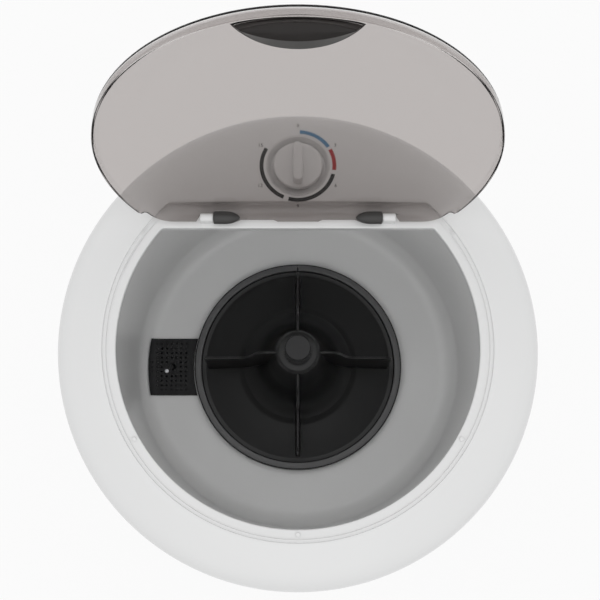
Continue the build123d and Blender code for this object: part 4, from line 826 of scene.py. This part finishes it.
class WASHER_OT_grille(bpy.types.Operator):
    """Dark sheet under the grille's border, painted shade seen through its holes: a frame that
    follows the floor and its rounded corner
    """

    bl_idname = "washer.grille"
    bl_label = "Grille skin"

    def execute(self, context):
        def frame_loop(left, left_half, right, right_half):
            across = np.array([left, right, right, left])
            corners = join(across, [-left_half, -right_half, right_half, left_half])
            share = np.linspace(0, 1, 20, endpoint=False)[:, None]
            nexts = np.roll(corners, -1, 0)
            return np.concatenate([a * (1 - share) + b * share for a, b in zip(corners, nexts)])

        def layer(lift):
            def height(plan):
                into_corner = np.clip(np.hypot(*plan.T) - FLOOR_FLAT, 0, TUB_CORNER - 1)
                return TUB_FLOOR + TUB_CORNER - np.sqrt(TUB_CORNER**2 - into_corner**2) + lift

            rings = toward(inner, outer, np.linspace(0, 1, 7), height)
            return [ring + (0, TUB_Y, 0) for ring in rings]

        inner = frame_loop(-172.5, 25.5, -131.5, 19)
        outer = frame_loop(-184, 32.5, -129.2, 32.5)
        outer *= np.minimum(1, 182.4 / np.hypot(*outer.T))[:, None]
        # A dark sheet laid just over the tub floor under the grille's border: painted shade, so its
        # holes read dark.
        skin = sheet(layer(0.22) + layer(0.04)[::-1], wrap_rows=True)
        build("grille_skin", [skin], "machine", "grille plastic")
        return {"FINISHED"}


class WASHER_OT_pulsator(bpy.types.Operator):
    """Pulsator: a dished disc turned with a stepped hub, and fins whose top sweeps up to the hub"""

    bl_idname = "washer.pulsator"
    bl_label = "Pulsator"

    def execute(self, context):
        centre = (0, TUB_Y, TUB_FLOOR)
        flare = bezier([(64, 21), (52, 25), (41, 38), (34.5, 74)], 16)
        top = [
            (126.4, 4, 0), (126.4, 13.2, 1.2), (118.2, 13.4, 0.4), (118.2, 7.2, 2),
            (112.4, 6.6, 5), (71, 16, 10), (65.2, 20.6, 1.2), (64, 21, 0),
        ]
        hub = [(34.5, 74, 0), (24.9, 147, 6), (22.4, 152, 2.5), (17, 153, 1), (15.8, 153, 0)]
        bore = [(8.6, 153), (8.6, 124), (3.1, 124), (3.1, 118), (6, 118), (6, 14), (11, 14)]
        hollow = [(11, 146), (21.9, 144), (34, 36), (44, 19), (63, 18), (71, 12.8), (112, 4.2)]
        under_ring = [(118.6, 4.8), (120.6, 6.8), (120.8, 10.8), (123.4, 10.8), (123.4, 4)]
        outside = [rounded(top, steps=7), flare[1:-1], rounded(hub)]
        profile = np.concatenate([*outside, bore, hollow, under_ring])
        parts = [sheet(turned(profile, 192, centre), wrap_rows=True)]
        run = np.r_[22:44:8j, 46:72:21j, 75:98:8j, 100:109.4:11j, 110, 110.35]
        level = 93 + 52 / (1 + np.exp((run - 52.6) / 3.3))
        level = level - 7.5 * np.clip((run - 101) / 9.4, 0, 1) ** 3
        thin = np.interp(run, [20, 108, 109.4, 110, 110.35], [1.6, 1.45, 1.2, 0.8, 0.3])[:, None]
        foot = np.interp(run, [22, 38, 44, 64, 71, 108, 112], [90, 40, 23, 19.5, 14.6, 6.4, 5.8])
        run, foot, shoulder = run[:, None], foot[:, None], level[:, None] - thin
        share = np.linspace(0, 1, 16)
        crown = np.linspace(0, math.pi, 9)[1:-1]
        rise = foot + (shoulder - foot) * share
        half = thin + 2 * np.exp(-share * 14) * np.minimum(1, (111 - run) / 3)
        y = np.concatenate([-half, -thin * np.cos(crown), half[:, ::-1]], 1)
        z = np.concatenate([rise, shoulder + thin * np.sin(crown), rise[:, ::-1]], 1)
        fin = join(run, y, z)
        fin = np.concatenate([fin[:1] * (1, 0, 1), fin, fin[-1:] * (1, 0, 1)])
        for quarter in range(4):
            cosine, sine = rays(quarter * math.pi / 2)
            turn = np.array([[cosine, sine, 0], [-sine, cosine, 0], [0, 0, 1]])
            parts.append(sheet(fin @ turn + centre))
        pulsator = build("pulsator_body", parts, "pulsator", "pulsator black plastic", crease=38)
        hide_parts("pulsator")
        # A lighter grey ring laid on the pulsator's rim: painted highlight on the same black plastic.
        ring = [
            (124.9, 12.9, 0.2), (124.9, 14, 0.7), (117.9, 14, 0.9), (117.9, 8.6, 0.3),
            (118.9, 8.6, 0.3), (118.9, 12.9, 0.4),
        ]
        ring = turned_solid(ring, 192, centre)
        build("pulsator_ring", [ring], "pulsator", "pulsator ring plastic")
        cap = [
            (0, 186, 0), (13.5, 186, 0.8), (14.5, 184.6, 0.8), (15.4, 153, 0.8), (8.5, 153, 0.2),
            (8.5, 139, 0.2), (6.4, 139, 0.2), (6.4, 180, 0.5), (0, 180, 0),
        ]
        cap = build("hub_cap", [turned_solid(cap, 96, centre)], "pulsator", "hub cap plastic")
        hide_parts("pulsator_cap")
        return {"FINISHED"}


class WASHER_OT_lid(bpy.types.Operator):
    """Lid: rings of a D outline over a crowned skin, a rim lip, hinge notches and the grip's hole"""

    bl_idname = "washer.lid"
    bl_label = "Smoky lid"

    def execute(self, context):
        wall = context.scene.washer_lid.wall / MM
        rim = context.scene.washer_lid.rim / MM
        notch_ends = np.array([0.76, 0.765, 0.9, 0.905])
        across = np.sort(np.r_[-0.985:0.985:61j, notch_ends, -notch_ends])[::-1]

        def outline(cut, corner_cut):
            return d_outline(LID_EDGE - cut, LID_REAR - cut, LID_CORNER - corner_cut, across, 200, 10)

        def skin(inset):
            curve = lid_edge(inset)[0]
            cuts = np.sort([*(curve[-1, 0] - curve[:, 0]), 34, 42, 50, 58, 66])
            plans = [outline(inset + cut, inset) for cut in cuts]
            centre = (0, -28)
            shares = (0.85, 0.68, 0.5, 0.32, 0.15, 0)
            plans += [centre + (plans[-1] - centre) * share for share in shares]
            return [raised(plan, lid_height(plan, inset)) for plan in plans], cuts

        def foot(cut, lift):
            plan = outline(cut, cut)
            x, y = np.abs(plan[:, 0]), plan[:, 1]
            low = -rim + (rim - 1.5) * np.clip((y - 110) / 6, 0, 1)
            low = np.where((x > 84.8) & (x < 100.6) & (y > 128), 6.5, low)
            low = np.where((x > 22.5) & (x < 59) & (y > 128), 0.5, low)
            return raised(plan, HINGE_Z + low + lift)

        outer, cuts = skin(0)
        edges = [foot(0, 0.6), foot(0.6, 0), foot(wall - 0.6, 0), foot(wall, 0.6)]
        rows = np.stack(outer[::-1] + edges + skin(wall)[0])
        centre = np.array([0.0, -161.0])
        near, far = (int(np.argmin(np.abs(cuts - cut))) for cut in (7, 66))
        over, under = len(outer) - 1 - far, len(outer) + len(edges) + near
        x, y, z = rows[len(outer) - 1 - near].T
        front = np.nonzero((np.abs(x) < 84) & (y < 0))[0]
        leave, loop, inner_loop = hole(rows, over, under, far - near, front[0], front[-1])
        angle = np.arctan2(loop[:, 1] - centre[1], loop[:, 0] - centre[0])
        goal = ray_hits(lens(*GRIP_HOLE, 80), centre, angle)
        patch = toward(loop, goal, np.linspace(0, 1, 8), lid_height)
        patch += toward(inner_loop, goal, np.linspace(1, 0, 8), lambda plan: lid_height(plan, wall))
        parts = [sheet(rows, leave=leave[:-1]), sheet(patch)]
        lid = build("lid_skin", parts, "lid", "smoky clear plastic", crease=40, place=swing)
        lid.data.materials.append(look("smoky clear rim plastic"))
        middles = np.empty(len(lid.data.polygons) * 3)
        lid.data.polygons.foreach_get("center", middles)
        x, y, z = swing(middles.reshape(-1, 3) / MM, LID_OPEN).T
        front_rim = (np.hypot(x, y) > LID_EDGE - 9) & (y < 80) & (z > HINGE_Z - rim + 1.2)
        lid.data.polygons.foreach_set("material_index", front_rim.astype(np.int32))
        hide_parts("lid")
        return {"FINISHED"}


class WASHER_OT_grip(bpy.types.Operator):
    """Lid grip: a lens-shaped finger cup, undercut on the rim's side, with a slope up to the lid"""

    bl_idname = "washer.grip"
    bl_label = "Lid grip"

    def execute(self, context):
        shoulder = LID_EDGE - SHOULDER_RUN
        share = GRIP_MIDDLE / shoulder
        top = HINGE_Z + LID_CROWN + 1 - (LID_CROWN - LID_SHOULDER) * share**2
        slope = 2 * (LID_CROWN - LID_SHOULDER) * share / shoulder
        hole_outer, hole_inner, hole_half, hole_tip = GRIP_HOLE

        def floor_height(plan, drop):
            return top - drop + (plan[:, 1] + GRIP_MIDDLE) * slope

        def at_skin(grow, lift):
            plan = lens(hole_outer + grow, hole_inner - grow, hole_half + 1.6 * grow, hole_tip)
            return raised(plan, lid_height(plan) + lift)

        def at_floor(inset, drop, drawn_in=False):
            plan = lens(178.8 - inset, 151.5 + inset, 51 - 3 * inset, 167)
            if drawn_in:
                plan = (0, -163) + 0 * plan
            return raised(plan, floor_height(plan, drop))

        inside = ((0, 12.8, True), (6, 12.8), (2.2, 12.8), (1.2, 12))
        edge = ((-1.2, -2.6), (-0.9, 0.2), (-0.3, 0.6), (0.9, 0.6), (1.3, 0.4), (1.4, 0.05))
        neck = ((0.1, 0.05), (-0.2, -2.8))
        under = ((0, 12.4), (0.5, 13.6), (1.6, 14), (0, 14, True))
        rows = [at_floor(*row) for row in inside] + [at_skin(*row) for row in edge + neck]
        rows += [at_floor(*row) for row in under]
        # The cup is drawn darker than the grip's plastic: painted shade.
        cup = build("grip_cup", [sheet(rows)], "lid", "grip dark plastic", crease=30, place=swing)
        # The slope up to the lid is drawn lighter than the grip's plastic: painted light on its lit
        # side.
        high = arc_through((54, -161.5), (0, -128.6), (-54, -161.5), 60)
        low = arc_through((50, -166.6), (0, -151.8), (-50, -166.6), 60)
        layers = []
        for proud in (0.5, -0.5):
            layer = []
            for part in np.linspace(0, 1, 9):
                plan = high * (1 - part) + low * part
                roof = lid_height(plan) - 2.8
                base = floor_height(plan, 12.9)
                layer.append(raised(plan, roof * (1 - part) + base * part + proud))
            layers.append(layer)
        edge = sheet(layers[0] + layers[1][::-1], wrap_rows=True, wrap_columns=False)
        build("grip_slope", [edge], "lid", "grip edge plastic", crease=30, place=swing)
        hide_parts("lid_grip")
        return {"FINISHED"}


class WASHER_OT_hinges(bpy.types.Operator):
    """Hinge caps: bullets turned about the hinge line, their wide ends towards the lugs"""

    bl_idname = "washer.hinges"
    bl_label = "Hinge caps"

    def execute(self, context):
        wide = 85.7
        nose = bezier([(6.5, -10.7), (6.5, -22.8), (1.6, -26.8), (0, -26.8)], 14)
        back = [(0, 0), (5.5, 0), (6.2, -0.3), (6.5, -1)]
        profile = np.concatenate([back, nose]) + (0, wide)
        points, faces = sheet(turned(profile, 64))
        x, y, z = points.T
        for side, name in ((-1, "left"), (1, "right")):
            placed = join(side * z, HINGE_Y + x, HINGE_Z + y)
            cap = build(f"hinge_cap_{name}", [(placed, faces)], "lid", "hinge cap plastic", crease=40)
            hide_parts(f"{name}_hinge_cap")
        return {"FINISHED"}


class WASHER_OT_fittings(bpy.types.Operator):
    """Finishes for the pieces that keep their engineered shape"""

    bl_idname = "washer.fittings"
    bl_label = "Fittings"

    def execute(self, context):
        plain_finishes = {row[0]: finish for finish, row in reversed(FINISHES.items())}
        for entry in frame["record"]["subparts"]:
            finish = plain_finishes[entry["material_slot"]]
            if entry["node"] == "drain_grille":
                finish = "grille plastic"
            materials = frame["nodes"][entry["node"]].data.materials
            materials.clear()
            materials.append(look(finish))
        return {"FINISHED"}


def seen_rays(tree):
    """One for rays from the camera, a reflection or a clear piece, and none for the rest."""
    light_path = add(tree, "LightPath")
    total = light_path["Is Camera Ray"]
    for name in ("Is Glossy Ray", "Is Transmission Ray"):
        total = reckon(tree, "MAXIMUM", total, light_path[name])
    return total


def mixed_surface(tree, factor, first, second, output):
    """Lead a mix of two shaders to the surface of an output node."""
    mix = tree.nodes.new("ShaderNodeMixShader")
    for socket, source in zip(mix.inputs, (factor, first, second)):
        feed(tree, socket, source)
    wire(tree, tree.nodes[output], Surface=mix.outputs["Shader"])


class WASHER_OT_stage(bpy.types.Operator):
    """Floor, soft lights, plain world and the camera above the front of the machine"""

    bl_idname = "washer.stage"
    bl_label = "Stage"

    def execute(self, context):
        scene = context.scene
        stage = scene.washer_stage
        white = (1, 1, 1, 1)
        mesh = bpy.data.meshes.new("floor")
        corners = [(-20, -20, 0), (20, -20, 0), (20, 20, 0), (-20, 20, 0)]
        mesh.from_pydata(corners, [], [(0, 1, 2, 3)])
        put("floor", mesh)
        material, tree, shader = new_material("pale floor")
        wire(tree, shader, Base_Color=(0.8, 0.8, 0.8, 1), Roughness=0.8)
        glow = add(tree, "Emission", Strength=1.0)["Emission"]
        share = reckon(tree, "MULTIPLY", seen_rays(tree), stage.floor_glow)
        mixed_surface(tree, share, shader.outputs["BSDF"], glow, "Material Output")
        mesh.materials.append(material)
        world = bpy.data.worlds.new("studio")
        world.use_nodes = True
        scene.world = world
        tree = world.node_tree
        sky = wire(tree, tree.nodes["Background"], Color=white, Strength=stage.sky)
        bright = add(tree, "Background", Color=white)["Background"]
        mixed_surface(tree, seen_rays(tree), sky.outputs["Background"], bright, "World Output")
        lamps = (
            ("key lamp", (0.1, -0.1, 3.1), 3.0, stage.light),
            ("fill lamp", (-0.2, -1.6, 2.6), 1.8, stage.light * 0.3),
        )
        for name, place, width, power in lamps:
            lamp = bpy.data.lights.new(name, "AREA")
            lamp.size = width
            lamp.energy = power
            holder = put(name, lamp)
            holder.location = place
            to_machine = Vector((0, 0, 0.7)) - holder.location
            holder.rotation_euler = to_machine.to_track_quat("-Z", "Y").to_euler()
        camera = bpy.data.cameras.new("camera")
        camera.lens = stage.lens
        camera.clip_end = 50.0
        eye = Vector((-0.0005, -stage.camera_front, RIM * MM + stage.camera_height))
        target = Vector((0.0021, stage.target_back, RIM * MM))
        forward = (target - eye).normalized()
        up = Vector((1, 0, 0)).cross(forward).normalized()
        axes = Matrix((forward.cross(up), up, -forward)).transposed().to_4x4()
        scene.camera = put("camera", camera)
        scene.camera.matrix_world = Matrix.Translation(eye) @ axes
        scene.view_settings.view_transform = "Standard"
        return {"FINISHED"}


class WASHER_PT_panel(bpy.types.Panel):
    """Sidebar list of the machine's pieces"""

    bl_idname = "WASHER_PT_panel"
    bl_label = "Round washing machine"
    bl_space_type = "VIEW_3D"
    bl_region_type = "UI"
    bl_category = "Washer"

    def draw(self, context):
        for group, kind in GROUPS.items():
            for name in kind.__annotations__:
                self.layout.prop(getattr(context.scene, group), name)
        for piece in PIECES:
            self.layout.operator(piece.bl_idname)


GROUPS = {
    "washer_body": WasherBodySettings,
    "washer_lid": WasherLidSettings,
    "washer_finish": WasherFinishSettings,
    "washer_stage": WasherStageSettings,
}
PIECES = (
    WASHER_OT_fittings, WASHER_OT_cabinet, WASHER_OT_cover, WASHER_OT_dial, WASHER_OT_knob,
    WASHER_OT_tub, WASHER_OT_grille, WASHER_OT_pulsator, WASHER_OT_lid, WASHER_OT_grip,
    WASHER_OT_hinges, WASHER_OT_stage,
)


def register():
    """Make the settings, operators and panel known to Blender."""
    for name, group in GROUPS.items():
        bpy.utils.register_class(group)
        setattr(bpy.types.Scene, name, PointerProperty(type=group))
    for piece in (*PIECES, WASHER_PT_panel):
        bpy.utils.register_class(piece)


def unregister():
    """Take the settings, operators and panel away again."""
    for piece in (WASHER_PT_panel, *reversed(PIECES)):
        bpy.utils.unregister_class(piece)
    for name, group in GROUPS.items():
        delattr(bpy.types.Scene, name)
        bpy.utils.unregister_class(group)


def main():
    """Build every piece in order."""
    register()
    for piece in PIECES:
        group, name = piece.bl_idname.split(".")
        getattr(getattr(bpy.ops, group), name)()


if __name__ == "__main__":
    main()
